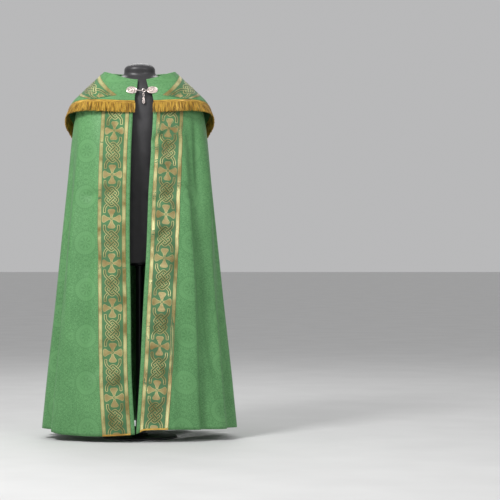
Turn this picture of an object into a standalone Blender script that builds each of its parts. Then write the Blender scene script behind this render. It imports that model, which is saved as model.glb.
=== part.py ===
"""A liturgical cope worn by a limbless dress form, at its real size.

Blender 4.5 script. Metres, +Z up, the open front towards -Y, the origin on the floor under the stand.
A place on the cloth is given by phi, the angle round the wearer in degrees (0 at the front, 90 at the
viewer's right, 180 at the back), and by level, which counts the sections of SECTIONS from the neckline down.
"""

import math
from collections import namedtuple

import bmesh
import bpy
from mathutils import Vector

# Cloth thicknesses and the gap between sewn pieces
GAP = 0.0003
CLOTH = 0.0016
GALLOON = 0.0012
HOOD_CLOTH = 0.0020
APPLIQUE = 0.0010

# Front orphrey: a woven band set back from the front edge by a margin of the ground cloth
MARGIN = 0.016
BAND_WIDTH = 0.116
BAND_COLUMNS = 4
EDGING_LEVEL = 8.96

# Side seams, and the columns of the walls
SEAM_ANGLE = 96.0
HOOD_COLUMNS = 46
HOOD_ROWS = 7

# Hood ornament
HOOD_BAND_WIDTH = 0.115
MEDALLION_HEIGHT = 0.242
MEDALLION_WIDTH = 0.192
MEDALLION_RIM = 0.0040
MEDALLION_Z = 1.311
CROSS_HEIGHT = 0.181
CROSS_SPAN = 0.087
CROSS_LINE = 0.0045
CROSS_BAR_SHARE = 0.27
BUD_RADIUS = 0.0065
ARM_ROOT_Z = 1.277
ARM_SHOULDER_Z = 1.457
ARM_START = 0.067
ARM_STEP = 0.020

# Fringe and tassel
HEADER = 0.012
HEADER_THICK = 0.0030
LOCK_PITCH = 0.0145
LOCK_DROP = 0.046
LOCK_TAPER = 0.70
TASSEL_STRANDS = 10

# Dress form stand
BASE_RADIUS = 0.155
BASE_THICK = 0.010
HUB_RADIUS = 0.030
HUB_HEIGHT = 0.045
POST_RADIUS = 0.016

Section = namedtuple("Section", "name z_front z_side z_back half_width front_depth back_depth")
SECTIONS = [
    Section("neckline", 1.470, 1.507, 1.502, 0.143, 0.088, 0.080),
    Section("collar slope", 1.430, 1.470, 1.464, 0.177, 0.107, 0.112),
    Section("shoulder tip", 1.368, 1.421, 1.408, 0.217, 0.132, 0.147),
    Section("upper arm", 1.290, 1.350, 1.320, 0.258, 0.158, 0.176),
    Section("chest", 1.190, 1.235, 1.200, 0.278, 0.178, 0.199),
    Section("elbow", 1.020, 1.040, 1.025, 0.298, 0.194, 0.230),
    Section("hip", 0.800, 0.800, 0.800, 0.323, 0.208, 0.272),
    Section("thigh", 0.550, 0.550, 0.550, 0.348, 0.219, 0.312),
    Section("shin", 0.290, 0.290, 0.290, 0.377, 0.229, 0.354),
    Section("hem", 0.034, 0.034, 0.036, 0.403, 0.238, 0.392),
]
# How much higher than its level the hem hangs at an angle, lower at the left front than at the right
Sway = namedtuple("Sway", "phi rise")
HEM_SWAY = [
    Sway(-180, 0.000),
    Sway(-140, 0.000),
    Sway(-96, 0.009),
    Sway(-78, 0.006),
    Sway(-62, -0.008),
    Sway(-35, -0.009),
    Sway(-4, 0.000),
    Sway(4, 0.016),
    Sway(30, 0.018),
    Sway(60, 0.014),
    Sway(96, 0.011),
    Sway(140, 0.000),
    Sway(180, 0.000),
]
# The front dips to the neck in a quick curve and, lower down, in a slow one
DIP_AT_NECK = 1.50
DIP_BELOW = 0.62
DIP_LEVEL = 2.0
LEVELS = [0, 0.8, 1.6, 2.4, 3.2, 4.2, 5.3, 6.5, 7.7, 9]
ROUNDNESS = 2.25

# The front edges: how far each lies from the middle of the front, at a height
Edge = namedtuple("Edge", "z left right")
FRONT_EDGES = [
    Edge(1.480, -0.007, 0.025),
    Edge(1.435, -0.011, 0.036),
    Edge(1.396, -0.021, 0.057),
    Edge(1.345, -0.027, 0.055),
    Edge(1.200, -0.034, 0.047),
    Edge(1.000, -0.039, 0.035),
    Edge(0.780, -0.040, 0.027),
    Edge(0.550, -0.036, 0.014),
    Edge(0.330, -0.034, 0.004),
    Edge(0.200, -0.029, -0.004),
    Edge(0.040, -0.019, -0.014),
]

# Troughs of the hanging folds: depth is how far the trough lies inside the crests at the hem
Trough = namedtuple("Trough", "phi half_width depth start")
TROUGHS = [
    Trough(-77, 6.5, 0.026, 5.0),
    Trough(-55, 10.0, 0.012, 3.6),
    Trough(38, 8.0, 0.006, 3.2),
    Trough(58, 9.0, 0.036, 2.8),
    Trough(76, 7.0, 0.024, 5.2),
    Trough(92, 8.0, 0.050, 3.8),
    Trough(108, 8.0, 0.062, 3.4),
    Trough(125, 9.0, 0.070, 3.6),
    Trough(143, 9.0, 0.052, 4.4),
    Trough(160, 8.0, 0.060, 3.8),
    Trough(177, 9.0, 0.042, 4.6),
    Trough(195, 9.0, 0.064, 3.6),
    Trough(213, 9.0, 0.050, 4.4),
    Trough(231, 9.0, 0.072, 3.4),
    Trough(249, 9.0, 0.058, 3.8),
    Trough(266, 8.0, 0.050, 4.0),
]

# The hood's lower edge: its height at an angle from the front, the same on both sides
HoodEdge = namedtuple("HoodEdge", "phi z")
HOOD_EDGE = [
    HoodEdge(0, 1.382),
    HoodEdge(35, 1.384),
    HoodEdge(60, 1.388),
    HoodEdge(72, 1.387),
    HoodEdge(81, 1.379),
    HoodEdge(90, 1.361),
    HoodEdge(98, 1.337),
    HoodEdge(107, 1.307),
    HoodEdge(116, 1.262),
    HoodEdge(123, 1.213),
    HoodEdge(132, 1.161),
    HoodEdge(142, 1.112),
    HoodEdge(153, 1.067),
    HoodEdge(166, 1.028),
    HoodEdge(180, 0.995),
]

# How far the hood's inner face lies outside the cope's inner face
Stand = namedtuple("Stand", "level front side back")
HOOD_STAND = [
    Stand(0, 0.0045, 0.0040, 0.0022),
    Stand(1, 0.0050, 0.0060, 0.0050),
    Stand(2, 0.0070, 0.0150, 0.0085),
    Stand(3, 0.0080, 0.0330, 0.0120),
    Stand(4, 0.0080, 0.0330, 0.0150),
    Stand(6, 0.0080, 0.0240, 0.0200),
]

FormSection = namedtuple("FormSection", "name z half_width front_depth back_depth")
FORM_SECTIONS = [
    FormSection("cap crown", 1.5470, 0.020, 0.020, 0.020),
    FormSection("cap shoulder", 1.5420, 0.042, 0.041, 0.041),
    FormSection("cap rim", 1.5300, 0.061, 0.060, 0.060),
    FormSection("neck top", 1.5180, 0.0655, 0.064, 0.064),
    FormSection("neck", 1.5020, 0.063, 0.058, 0.062),
    FormSection("neck foot", 1.4900, 0.078, 0.062, 0.068),
    FormSection("shoulder slope", 1.4830, 0.124, 0.069, 0.077),
    FormSection("shoulder crest", 1.4694, 0.166, 0.081, 0.086),
    FormSection("shoulder tip", 1.4492, 0.1953, 0.092, 0.097),
    FormSection("upper chest", 1.4100, 0.2140, 0.105, 0.111),
    FormSection("arm cap", 1.3400, 0.2110, 0.119, 0.120),
    FormSection("chest", 1.2500, 0.1900, 0.128, 0.121),
    FormSection("ribs", 1.1500, 0.1710, 0.121, 0.110),
    FormSection("waist", 1.0200, 0.1560, 0.106, 0.098),
    FormSection("hip", 0.8800, 0.1740, 0.112, 0.116),
    FormSection("seat", 0.7900, 0.1780, 0.112, 0.122),
    FormSection("foot of torso", 0.7200, 0.1690, 0.106, 0.114),
]
FORM_ROUNDNESS = 2.3
FORM_SIDES = 26

# Clasp: two rosettes on the hood's front edges, a hook and an eye between them, and a drop on the eye
CLASP_Z = 1.4250
ROSETTE_LEFT_X = -0.0350
ROSETTE_RIGHT_X = 0.0545
ROSETTE_WIDTH = 0.045
ROSETTE_HEIGHT = 0.034
ROSETTE_THICK = 0.0045
ROSETTE_PETALS = 8
ROSETTE_STAND = 0.0006
WIRE = 0.0013
EYE_RADIUS = 0.0065
EYE_X = 0.0160
LINK_WIRE = 0.0010
LINK_WIDTH = 0.0085
LINK_LENGTH = 0.0130
LINKS = 3
DROP_LENGTH = 0.020
DROP_WIDTH = 0.012
LINK_PLAY = 0.0004

GREEN = ("green brocade", (0.075, 0.330, 0.110, 1), 0.45, 0.0)
BAND_GREEN = ("woven band", (0.420, 0.380, 0.130, 1), 0.45, 0.2)
GOLD_THREAD = ("gold thread", (0.620, 0.360, 0.060, 1), 0.40, 0.4)
SILVER = ("pale cast metal", (0.620, 0.540, 0.500, 1), 0.30, 1.0)
FORM_BLACK = ("black form", (0.020, 0.020, 0.022, 1), 0.30, 0.0)
STEEL_BLACK = ("black steel", (0.030, 0.030, 0.032, 1), 0.40, 0.6)


def clear_scene():
    """Remove every object of the opened scene."""
    for obj in list(bpy.data.objects):
        bpy.data.objects.remove(obj)


def material(finish):
    """The Principled material of a named finish, made once."""
    name, colour, roughness, metallic = finish
    made = bpy.data.materials.get(name)
    if made:
        return made
    made = bpy.data.materials.new(name)
    made.use_nodes = True
    shader = made.node_tree.nodes["Principled BSDF"]
    shader.inputs["Base Color"].default_value = colour
    shader.inputs["Roughness"].default_value = roughness
    shader.inputs["Metallic"].default_value = metallic
    return made


def catmull(before, start, end, after, t):
    """A smooth value between start and end, shaped by their neighbours."""
    slope_in = (end - before) / 2
    slope_out = (after - start) / 2
    square = t * t
    cube = square * t
    return (
        (2 * cube - 3 * square + 1) * start
        + (cube - 2 * square + t) * slope_in
        + (3 * square - 2 * cube) * end
        + (cube - square) * slope_out
    )


def along(values, position):
    """The smooth value of a column of numbers at a whole or broken row number."""
    last = len(values) - 1
    position = max(0.0, min(last, position))
    row = min(last - 1, int(position))
    start = values[row]
    end = values[row + 1]
    before = values[row - 1] if row > 0 else 2 * start - end
    after = values[row + 2] if row + 2 <= last else 2 * end - start
    return catmull(before, start, end, after, position - row)


def row_of(keys, key):
    """The broken row number at which a sorted column of keys reaches key."""
    rising = keys[-1] > keys[0]
    for row in range(len(keys) - 1):
        low, high = keys[row], keys[row + 1]
        if (key <= high) if rising else (key >= high):
            return row + max(0.0, (key - low) / (high - low))
    return float(len(keys) - 1)


def column(table, name):
    """One named column of a table."""
    return [getattr(row, name) for row in table]


def looked_up(table, key_name, value_name, key):
    """A table's value at a key, smooth between rows."""
    return along(column(table, value_name), row_of(column(table, key_name), key))


SECTION_COLUMNS = {name: column(SECTIONS, name) for name in Section._fields[1:]}


def section_value(name, level):
    """One size of the cope at a level."""
    values = SECTION_COLUMNS[name]
    if level > len(values) - 1:
        return values[-1] + (level - len(values) + 1) * (values[-1] - values[-2])
    return along(values, level)


def radius_at(phi, half_width, front_depth, back_depth, roundness):
    """The reach of a rounded section from its middle, in the direction phi."""
    across = abs(math.sin(math.radians(phi)))
    deep = abs(math.cos(math.radians(phi)))
    depth = front_depth if math.cos(math.radians(phi)) > 0 else back_depth
    return ((across / half_width) ** roundness + (deep / depth) ** roundness) ** (-1 / roundness)


def height_at(phi, level):
    """The height of the cope's surface."""
    sway = looked_up(HEM_SWAY, "phi", "rise", (phi + 180) % 360 - 180)
    side = section_value("z_side", level) + sway * (level / LEVELS[-1]) ** 3
    cosine = math.cos(math.radians(phi))
    if cosine > 0:
        front = section_value("z_front", level) - section_value("z_side", level)
        bend = DIP_BELOW + (DIP_AT_NECK - DIP_BELOW) * max(0.0, 1 - level / DIP_LEVEL)
        return side + front * (1 - (1 - cosine * cosine) ** bend)
    back = section_value("z_back", level) - section_value("z_side", level)
    return side + back * cosine * cosine


def fold_depth(phi, level):
    """How far the folds draw the cloth in from its crests."""
    depth = 0.0
    last = len(SECTIONS) - 1
    for trough in TROUGHS:
        away = (phi - trough.phi + 180) % 360 - 180
        if abs(away) >= trough.half_width or level <= trough.start:
            continue
        grown = (level - trough.start) / (last - trough.start)
        gain = math.sin(math.pi / 2 * min(1.0, grown)) ** 1.3
        depth += trough.depth * gain * (0.5 + 0.5 * math.cos(math.pi * away / trough.half_width))
    return depth


def crest_point(phi, level):
    """A point of the cope's inner face with no folds in it."""
    reach = radius_at(
        phi,
        section_value("half_width", level),
        section_value("front_depth", level),
        section_value("back_depth", level),
        ROUNDNESS,
    )
    angle = math.radians(phi)
    return Vector((reach * math.sin(angle), -reach * math.cos(angle), height_at(phi, level)))


def cope_point(phi, level):
    """A point of the cope's inner face."""
    point = crest_point(phi, level)
    reach = math.hypot(point.x, point.y)
    shrink = (reach - fold_depth(phi, level)) / reach
    return Vector((point.x * shrink, point.y * shrink, point.z))


def facing(surface, phi, level):
    """The outward normal of a surface given as a function of phi and level."""
    turn = surface(phi + 0.5, level) - surface(phi - 0.5, level)
    above = max(0.0, level - 0.04)
    fall = surface(phi, above + 0.08) - surface(phi, above)
    return fall.cross(turn).normalized()


def lifted(surface, phi, level, lift):
    """A point of a surface moved out along its normal."""
    return surface(phi, level) + facing(surface, phi, level) * lift


def edge_angle(level, side):
    """The angle at which the cope's front edge lies: side is left or right."""
    phi = 0.0
    for _ in range(12):
        point = crest_point(phi, level)
        wanted = looked_up(FRONT_EDGES, "z", side, point.z)
        reach = math.hypot(point.x, point.y)
        phi = math.degrees(math.asin(wanted / reach))
    return phi


def angle_after(level, start, distance):
    """The angle reached by going a distance along the cloth from an angle; a negative distance goes back."""
    step = math.copysign(0.25, distance)
    left = abs(distance)
    phi = start
    here = cope_point(phi, level)
    while True:
        ahead = cope_point(phi + step, level)
        stride = (ahead - here).length
        if stride >= left:
            return phi + step * left / stride
        left -= stride
        phi += step
        here = ahead


def closed_wall(name, inner, outer, finish):
    """A closed solid between two grids of points, each a list of rows."""
    rows, columns = len(inner), len(inner[0])
    count = rows * columns
    points = [p for row in inner for p in row] + [p for row in outer for p in row]
    faces = []

    def quad(a, b, c, d):
        faces.append((a, b, c))
        faces.append((a, c, d))

    for i in range(rows - 1):
        for j in range(columns - 1):
            a = i * columns + j
            b, c, d = a + 1, a + columns + 1, a + columns
            quad(a, b, c, d)
            quad(count + a, count + d, count + c, count + b)
    for j in range(columns - 1):
        low = (rows - 1) * columns + j
        quad(j, count + j, count + j + 1, j + 1)
        quad(low, low + 1, count + low + 1, count + low)
    for i in range(rows - 1):
        a = i * columns
        b = a + columns - 1
        quad(a, a + columns, count + a + columns, count + a)
        quad(b, count + b, count + b + columns, b + columns)
    return mesh_object(name, points, faces, finish)


def mesh_object(name, points, faces, finish):
    """An object with a closed mesh whose faces point out."""
    mesh = bpy.data.meshes.new(name)
    mesh.from_pydata([tuple(p) for p in points], [], faces)
    shape = bmesh.new()
    shape.from_mesh(mesh)
    bmesh.ops.recalc_face_normals(shape, faces=shape.faces)
    shape.to_mesh(mesh)
    shape.free()
    mesh.materials.append(material(finish))
    mesh.shade_smooth()
    mesh.set_sharp_from_angle(angle=math.radians(40))
    obj = bpy.data.objects.new(name, mesh)
    bpy.context.scene.collection.objects.link(obj)
    return obj


def combine(obj, other, operation):
    """Apply a Boolean of another object to obj, and remove the other object."""
    modifier = obj.modifiers.new(operation.lower(), "BOOLEAN")
    modifier.operation = operation
    modifier.object = other
    bpy.context.view_layer.update()
    graph = bpy.context.evaluated_depsgraph_get()
    mesh = bpy.data.meshes.new_from_object(obj.evaluated_get(graph))
    obj.modifiers.clear()
    old = obj.data
    obj.data = mesh
    bpy.data.meshes.remove(old)
    bpy.data.objects.remove(other)
    return obj


def wall_from(name, places, surface, low, high, finish):
    """A wall over a grid of (phi, level) places, from one lift off the surface to another."""
    inner = [[lifted(surface, phi, level, low) for phi, level in row] for row in places]
    outer = [[lifted(surface, phi, level, high) for phi, level in row] for row in places]
    return closed_wall(name, inner, outer, finish)


def spread(start, end, count):
    """Evenly spaced values from start to end, both included."""
    return [start + (end - start) * i / count for i in range(count + 1)]


def fold_columns(start, end, widest):
    """Angles from start to end that meet each trough's bed, flanks and rims, none further apart than widest."""
    low, high = min(start, end), max(start, end)
    stops = []
    for trough in TROUGHS:
        for share in (-1, -0.62, -0.26, 0.26, 0.62, 1):
            phi = trough.phi + share * trough.half_width
            if low - 180 < phi - 360 < high and not low < phi < high:
                phi -= 360
            if low + 1.0 < phi < high - 1.0:
                stops.append(phi)
    columns = [low]
    for phi in sorted(stops) + [high]:
        if phi < high and phi - columns[-1] < 2.2:
            continue
        parts = max(1, math.ceil((phi - columns[-1]) / widest))
        columns += spread(columns[-1], phi, parts)[1:]
    return columns if start < end else columns[::-1]


def front_row(level, side):
    """The angles of a front panel's columns: the margin, the band, then the rest as far as the side seam."""
    start = edge_angle(level, side)
    way = 1 if side == "right" else -1
    band_start = angle_after(level, start, way * MARGIN)
    distances = spread(MARGIN, MARGIN + BAND_WIDTH, BAND_COLUMNS)[1:]
    band = [angle_after(level, start, way * d) for d in distances]
    seam = angle_after(level, way * SEAM_ANGLE, -way * GAP / 2)
    hem_start = angle_after(LEVELS[-1], edge_angle(LEVELS[-1], side), way * (MARGIN + BAND_WIDTH))
    hem = fold_columns(hem_start, way * SEAM_ANGLE, 9.0)
    shares = [(phi - hem[0]) / (hem[-1] - hem[0]) for phi in hem[1:]]
    return [start, band_start] + band + [band[-1] + (seam - band[-1]) * share for share in shares]


def edging(side):
    """The gold edging across the foot of a front orphrey."""
    rows = []
    for level in (EDGING_LEVEL, LEVELS[-1]):
        row = front_row(level, side)[1 : 2 + BAND_COLUMNS]
        rows.append([(phi, level) for phi in row])
    low = CLOTH + GALLOON + 2 * GAP
    wall_from(f"edging_{side}", rows, cope_point, low, low + APPLIQUE, GOLD_THREAD)


def cope_panels():
    """The two fronts with their woven bands, and the back."""
    for side in ("left", "right"):
        rows = [[(phi, level) for phi in front_row(level, side)] for level in LEVELS]
        wall_from(f"front_{side}", rows, cope_point, 0.0, CLOTH, GREEN)
        band = [row[1 : 2 + BAND_COLUMNS] for row in rows]
        low = CLOTH + GAP
        wall_from(f"orphrey_{side}", band, cope_point, low, low + GALLOON, BAND_GREEN)
        edging(side)
    back = []
    for level in LEVELS:
        start = angle_after(level, SEAM_ANGLE, GAP / 2)
        end = angle_after(level, 360 - SEAM_ANGLE, -GAP / 2)
        inner = fold_columns(SEAM_ANGLE, 360 - SEAM_ANGLE, 6.0)[1:-1]
        back.append([(phi, level) for phi in [start] + inner + [end]])
    wall_from("back", back, cope_point, 0.0, CLOTH, GREEN)


def from_front(phi):
    """The angle from the middle of the front, 0 to 180."""
    return abs((phi + 180) % 360 - 180)


def hood_stand(phi, level):
    """How far the hood stands off the cope."""
    cosine = math.cos(math.radians(phi))
    face = "front" if cosine > 0 else "back"
    side = looked_up(HOOD_STAND, "level", "side", level)
    ahead = looked_up(HOOD_STAND, "level", face, level)
    return side + (ahead - side) * cosine * cosine


def hood_point(phi, level):
    """A point of the hood's inner face."""
    return lifted(crest_point, phi, level, hood_stand(phi, level))


def hood_level(phi, z):
    """The level at which the hood reaches a height."""
    low, high = 0.0, 6.0
    for _ in range(28):
        middle = (low + high) / 2
        if hood_point(phi, middle).z > z:
            low = middle
        else:
            high = middle
    return (low + high) / 2


def hood_angles(level):
    """The angles of the hood's columns at a level: from the right front edge round the back to the left."""
    half = HOOD_COLUMNS // 2
    right = edge_angle(level, "right")
    left = edge_angle(level, "left")
    return spread(right, 180, half) + spread(180, 360 + left, half)[1:]


def hood_places():
    """The hood's grid of places, from the neckline to its lower edge."""
    edge_level = 1.5
    levels = []
    for phi in hood_angles(edge_level):
        z = looked_up(HOOD_EDGE, "phi", "z", from_front(phi))
        levels.append(hood_level(phi, z))
    rows = []
    for i in range(HOOD_ROWS + 1):
        row = []
        for j, lowest in enumerate(levels):
            level = lowest * i / HOOD_ROWS
            row.append((hood_angles(min(level, edge_level))[j], level))
        rows.append(row)
    return rows


def on_hood(point):
    """The hood's place straight inwards or outwards from a point."""
    phi = math.degrees(math.atan2(point.x, -point.y)) % 360
    return phi, hood_level(phi, point.z)


def straight_path(start, heading, step, count):
    """Places along a line that runs straight on the hood's surface, with the way it heads at each."""
    places = []
    point = start
    for _ in range(count):
        phi, level = on_hood(point)
        normal = facing(hood_point, phi, level)
        point = hood_point(phi, level)
        heading = (heading - normal * heading.dot(normal)).normalized()
        places.append((point, heading, normal))
        point = point + heading * step
    return places


def arm_heading(way):
    """Where an arm of the ornament leaves the middle of the back, and its heading to pass over the shoulder."""
    start = hood_point(180, hood_level(180, ARM_ROOT_Z))
    low, high = 20.0, 70.0
    for _ in range(14):
        rise = math.radians((low + high) / 2)
        heading = Vector((way * math.cos(rise), 0, math.sin(rise)))
        path = straight_path(start, heading, 0.01, 45)
        crossing = next((p for p, _, _ in path if p.y < 0), path[-1][0])
        if crossing.z < ARM_SHOULDER_Z:
            low = math.degrees(rise)
        else:
            high = math.degrees(rise)
    return start, heading


def arm_cutter(way):
    """A thick strip that runs from under the medallion, over the shoulder and off the hood's front."""
    start, heading = arm_heading(way)
    path = straight_path(start + heading * ARM_START, heading, ARM_STEP, 28)
    inner, outer = [], []
    for point, ahead, normal in path:
        across = normal.cross(ahead) * HOOD_BAND_WIDTH / 2
        rims = [hood_place_point(point + across * side) for side in (-1, -0.5, 0, 0.5, 1)]
        inner.append([p - n * 0.010 for p, n in rims])
        outer.append([p + n * 0.020 for p, n in rims])
    return closed_wall("arm cutter", inner, outer, GREEN)


def hood_place_point(point):
    """The point of the hood nearest in level, and its normal."""
    phi, level = on_hood(point)
    return hood_point(phi, level), facing(hood_point, phi, level)


def prism(name, outline, near, far):
    """An upright outline of (x, z) points drawn out along Y."""
    count = len(outline)
    points = [Vector((x, near, z)) for x, z in outline] + [Vector((x, far, z)) for x, z in outline]
    faces = [tuple(range(count)), tuple(range(2 * count - 1, count - 1, -1))]
    for i in range(count):
        j = (i + 1) % count
        faces.append((i, count + i, count + j, j))
    return mesh_object(name, points, faces, GREEN)


def pointed_oval(width, height, middle_z, steps):
    """The outline of two equal arcs that meet in a point above and below."""
    half = height / 2
    sag = width / 2
    arc_radius = (half * half + sag * sag) / (2 * sag)
    sweep = math.asin(half / arc_radius)
    outline = []
    for side in (1, -1):
        for i in range(steps):
            turn = sweep - 2 * sweep * i / steps
            x = side * (arc_radius * math.cos(turn) - (arc_radius - sag))
            outline.append((x, middle_z + side * arc_radius * math.sin(turn)))
    return outline


def budded_cross():
    """A cutter with the outline of a thin Latin cross whose four ends are budded."""
    half = CROSS_LINE / 2
    top = MEDALLION_Z + CROSS_HEIGHT / 2
    bar = top - CROSS_HEIGHT * CROSS_BAR_SHARE
    reach = CROSS_SPAN / 2 - BUD_RADIUS
    right = bud((reach, bar), 0)
    upper = bud((0, top - BUD_RADIUS), 90)
    left = bud((-reach, bar), 180)
    lower = bud((0, MEDALLION_Z - CROSS_HEIGHT / 2 + BUD_RADIUS), 270)
    outline = right + [(half, bar + half)] + upper + [(-half, bar + half)]
    outline += left + [(-half, bar - half)] + lower + [(half, bar - half)]
    return prism("cross cutter", outline, 0.05, 0.4)


def bud(centre, heading):
    """The outline of a round bud at the end of a cross's arm, which leaves out the arm's own width."""
    opening = math.degrees(math.asin(CROSS_LINE / 2 / BUD_RADIUS))
    made = []
    for turn in spread(180 + opening, 540 - opening, 6):
        angle = math.radians(heading + turn)
        made.append((centre[0] + BUD_RADIUS * math.cos(angle), centre[1] + BUD_RADIUS * math.sin(angle)))
    return made


def hood_layer(name, low, high, cutter, finish):
    """A piece that lies on the hood: the hood's own points moved out, cut to an outline."""
    layer = wall_from(name, hood_places(), hood_point, low, high, finish)
    return combine(layer, cutter, "INTERSECT")


def hood():
    """The hood, its woven bands and the medallion where they meet."""
    wall_from("hood", hood_places(), hood_point, 0.0, HOOD_CLOTH, GREEN)
    low = HOOD_CLOTH + GAP
    high = low + APPLIQUE
    hood_layer("hood_band_right", low, high, arm_cutter(1), BAND_GREEN)
    hood_layer("hood_band_left", low, high, arm_cutter(-1), BAND_GREEN)
    half = HOOD_BAND_WIDTH / 2
    top = MEDALLION_Z - 0.055
    stem = [(-half, 0.9), (half, 0.9), (half, top), (-half, top)]
    hood_layer("hood_band_stem", low, high, prism("stem cutter", stem, 0.10, 0.40), BAND_GREEN)
    low = high + GAP
    field = pointed_oval(
        MEDALLION_WIDTH - 2 * MEDALLION_RIM, MEDALLION_HEIGHT - 3 * MEDALLION_RIM, MEDALLION_Z, 9
    )
    hood_layer("medallion", low, low + APPLIQUE, prism("field cutter", field, 0.05, 0.4), GREEN)
    rim = prism("rim cutter", pointed_oval(MEDALLION_WIDTH, MEDALLION_HEIGHT, MEDALLION_Z, 9), 0.05, 0.4)
    inside = pointed_oval(
        MEDALLION_WIDTH - 2 * MEDALLION_RIM + 2 * GAP,
        MEDALLION_HEIGHT - 3 * MEDALLION_RIM + 3 * GAP,
        MEDALLION_Z,
        9,
    )
    combine(rim, prism("rim inside", inside, 0.04, 0.5), "DIFFERENCE")
    hood_layer("medallion_rim", low, low + 2 * APPLIQUE, rim, GOLD_THREAD)
    low += APPLIQUE + GAP
    hood_layer("medallion_cross", low, low + APPLIQUE, budded_cross(), SILVER)


EdgeStop = namedtuple("EdgeStop", "point normal fall")


def edge_line():
    """The hood's lower edge: middle points of its wall, with the wall's normal and the way cloth falls there."""
    line = []
    for phi, level in hood_places()[-1]:
        normal = facing(hood_point, phi, level)
        middle = hood_point(phi, level) + normal * HOOD_CLOTH / 2
        line.append(EdgeStop(middle, normal, hanging(phi, level)))
    return line


def hanging(phi, level):
    """The way a thread hangs on the cloth: down its slope, and without drifting sideways at front and back."""
    normal = facing(crest_point, phi, level)
    plumb = Vector((0, 0, -1))
    across = Vector((1, 0, 0))
    fall = plumb - normal * plumb.dot(normal)
    sideways = (across - normal * across.dot(normal)).normalized()
    drift = fall.dot(sideways) * math.cos(math.radians(phi)) ** 2
    return (fall - sideways * drift).normalized()


def resampled(line, pitch, skip):
    """Stops at an even pitch along a line of stops, after skipping its start."""
    lengths = [0.0]
    for a, b in zip(line, line[1:]):
        lengths.append(lengths[-1] + (b.point - a.point).length)
    count = int((lengths[-1] - skip) / pitch)
    fitted = (lengths[-1] - skip) / count
    made = []
    part = 0
    for i in range(count + 1):
        wanted = min(skip + i * fitted, lengths[-1])
        while part < len(line) - 2 and lengths[part + 1] < wanted:
            part += 1
        share = (wanted - lengths[part]) / (lengths[part + 1] - lengths[part])
        made.append(EdgeStop(*(a.lerp(b, share) for a, b in zip(line[part], line[part + 1]))))
    return made


def fringe(side):
    """Half of the fringe: a header strip below the hood's edge, with a lock hanging from each pitch of it."""
    line = edge_line()
    middle = len(line) // 2
    half = line[middle::-1] if side == "right" else line[middle:]
    stops = resampled(half, LOCK_PITCH, 0.0045)
    count = len(stops)
    shape = bmesh.new()
    rings = []
    for i, stop in enumerate(stops):
        ahead = (stops[min(i + 1, count - 1)].point - stops[max(i - 1, 0)].point).normalized()
        normal = stop.normal.normalized()
        down = ahead.cross(normal).normalized()
        if down.z > 0:
            down = -down
        out = normal * HEADER_THICK / 2
        top = stop.point + down * (GAP + 0.0004)
        low = stop.point + down * HEADER
        corners = (top - out, top + out, low + out, low - out)
        rings.append([shape.verts.new(c) for c in corners])
    for i, (a, b) in enumerate(zip(rings, rings[1:])):
        for k in (0, 1, 3):
            m = (k + 1) % 4
            shape.faces.new((a[k], b[k], b[m], a[m]))
        hang_lock(shape, [a[3], a[2], b[2], b[3]], stops[i].fall.normalized())
    shape.faces.new(rings[0])
    shape.faces.new(list(reversed(rings[-1])))
    return finished(shape, f"fringe_{side}", GOLD_THREAD)


def hang_lock(shape, root, fall):
    """A lock of fringe: the four root points drawn down and in to a narrower tip."""
    middle = sum((v.co for v in root), Vector()) / 4
    tips = [shape.verts.new(middle.lerp(v.co, LOCK_TAPER) + fall * LOCK_DROP) for v in root]
    for k in range(4):
        m = (k + 1) % 4
        shape.faces.new((root[k], root[m], tips[m], tips[k]))
    shape.faces.new(tips)


def finished(shape, name, finish):
    """Turn a bmesh into an object whose faces point out."""
    bmesh.ops.recalc_face_normals(shape, faces=shape.faces)
    mesh = bpy.data.meshes.new(name)
    shape.to_mesh(mesh)
    shape.free()
    mesh.materials.append(material(finish))
    mesh.shade_smooth()
    mesh.set_sharp_from_angle(angle=math.radians(35))
    obj = bpy.data.objects.new(name, mesh)
    bpy.context.scene.collection.objects.link(obj)
    return obj


TasselRing = namedtuple("TasselRing", "drop radius")
TASSEL_HEAD = [
    TasselRing(0.0000, 0.0022),
    TasselRing(0.0430, 0.0022),
    TasselRing(0.0450, 0.0055),
    TasselRing(0.0500, 0.0078),
    TasselRing(0.0570, 0.0072),
    TasselRing(0.0590, 0.0055),
    TasselRing(0.0610, 0.0062),
    TasselRing(0.0650, 0.0088),
]
TASSEL_SKIRT = 0.048
TASSEL_FLARE = 1.55


def tassel():
    """The tassel at the hood's point: a cord, a bound head, and strands that hang apart from it."""
    foot, _, down = edge_line()[HOOD_COLUMNS // 2]
    right = Vector((1, 0, 0))
    out = right.cross(down)
    top = foot + down * (GAP + 0.0002)
    sides = 2 * TASSEL_STRANDS
    shape = bmesh.new()

    def place(turn, radius, depth):
        return top + (right * math.sin(turn) + out * math.cos(turn)) * radius + down * depth

    rings = []
    for ring in TASSEL_HEAD:
        turns = [2 * math.pi * k / sides for k in range(sides)]
        rings.append([shape.verts.new(place(t, ring.radius, ring.drop)) for t in turns])
    for a, b in zip(rings, rings[1:]):
        for k in range(sides):
            m = (k + 1) % sides
            shape.faces.new((a[k], a[m], b[m], b[k]))
    shape.faces.new(list(reversed(rings[0])))
    low = rings[-1]
    middle = shape.verts.new(place(0, 0, TASSEL_HEAD[-1].drop))
    for k in range(0, sides, 2):
        strand(shape, (low[k], low[k + 1], middle), down)
        shape.faces.new((low[k + 1], low[(k + 2) % sides], middle))
    return finished(shape, "tassel", GOLD_THREAD)


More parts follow.
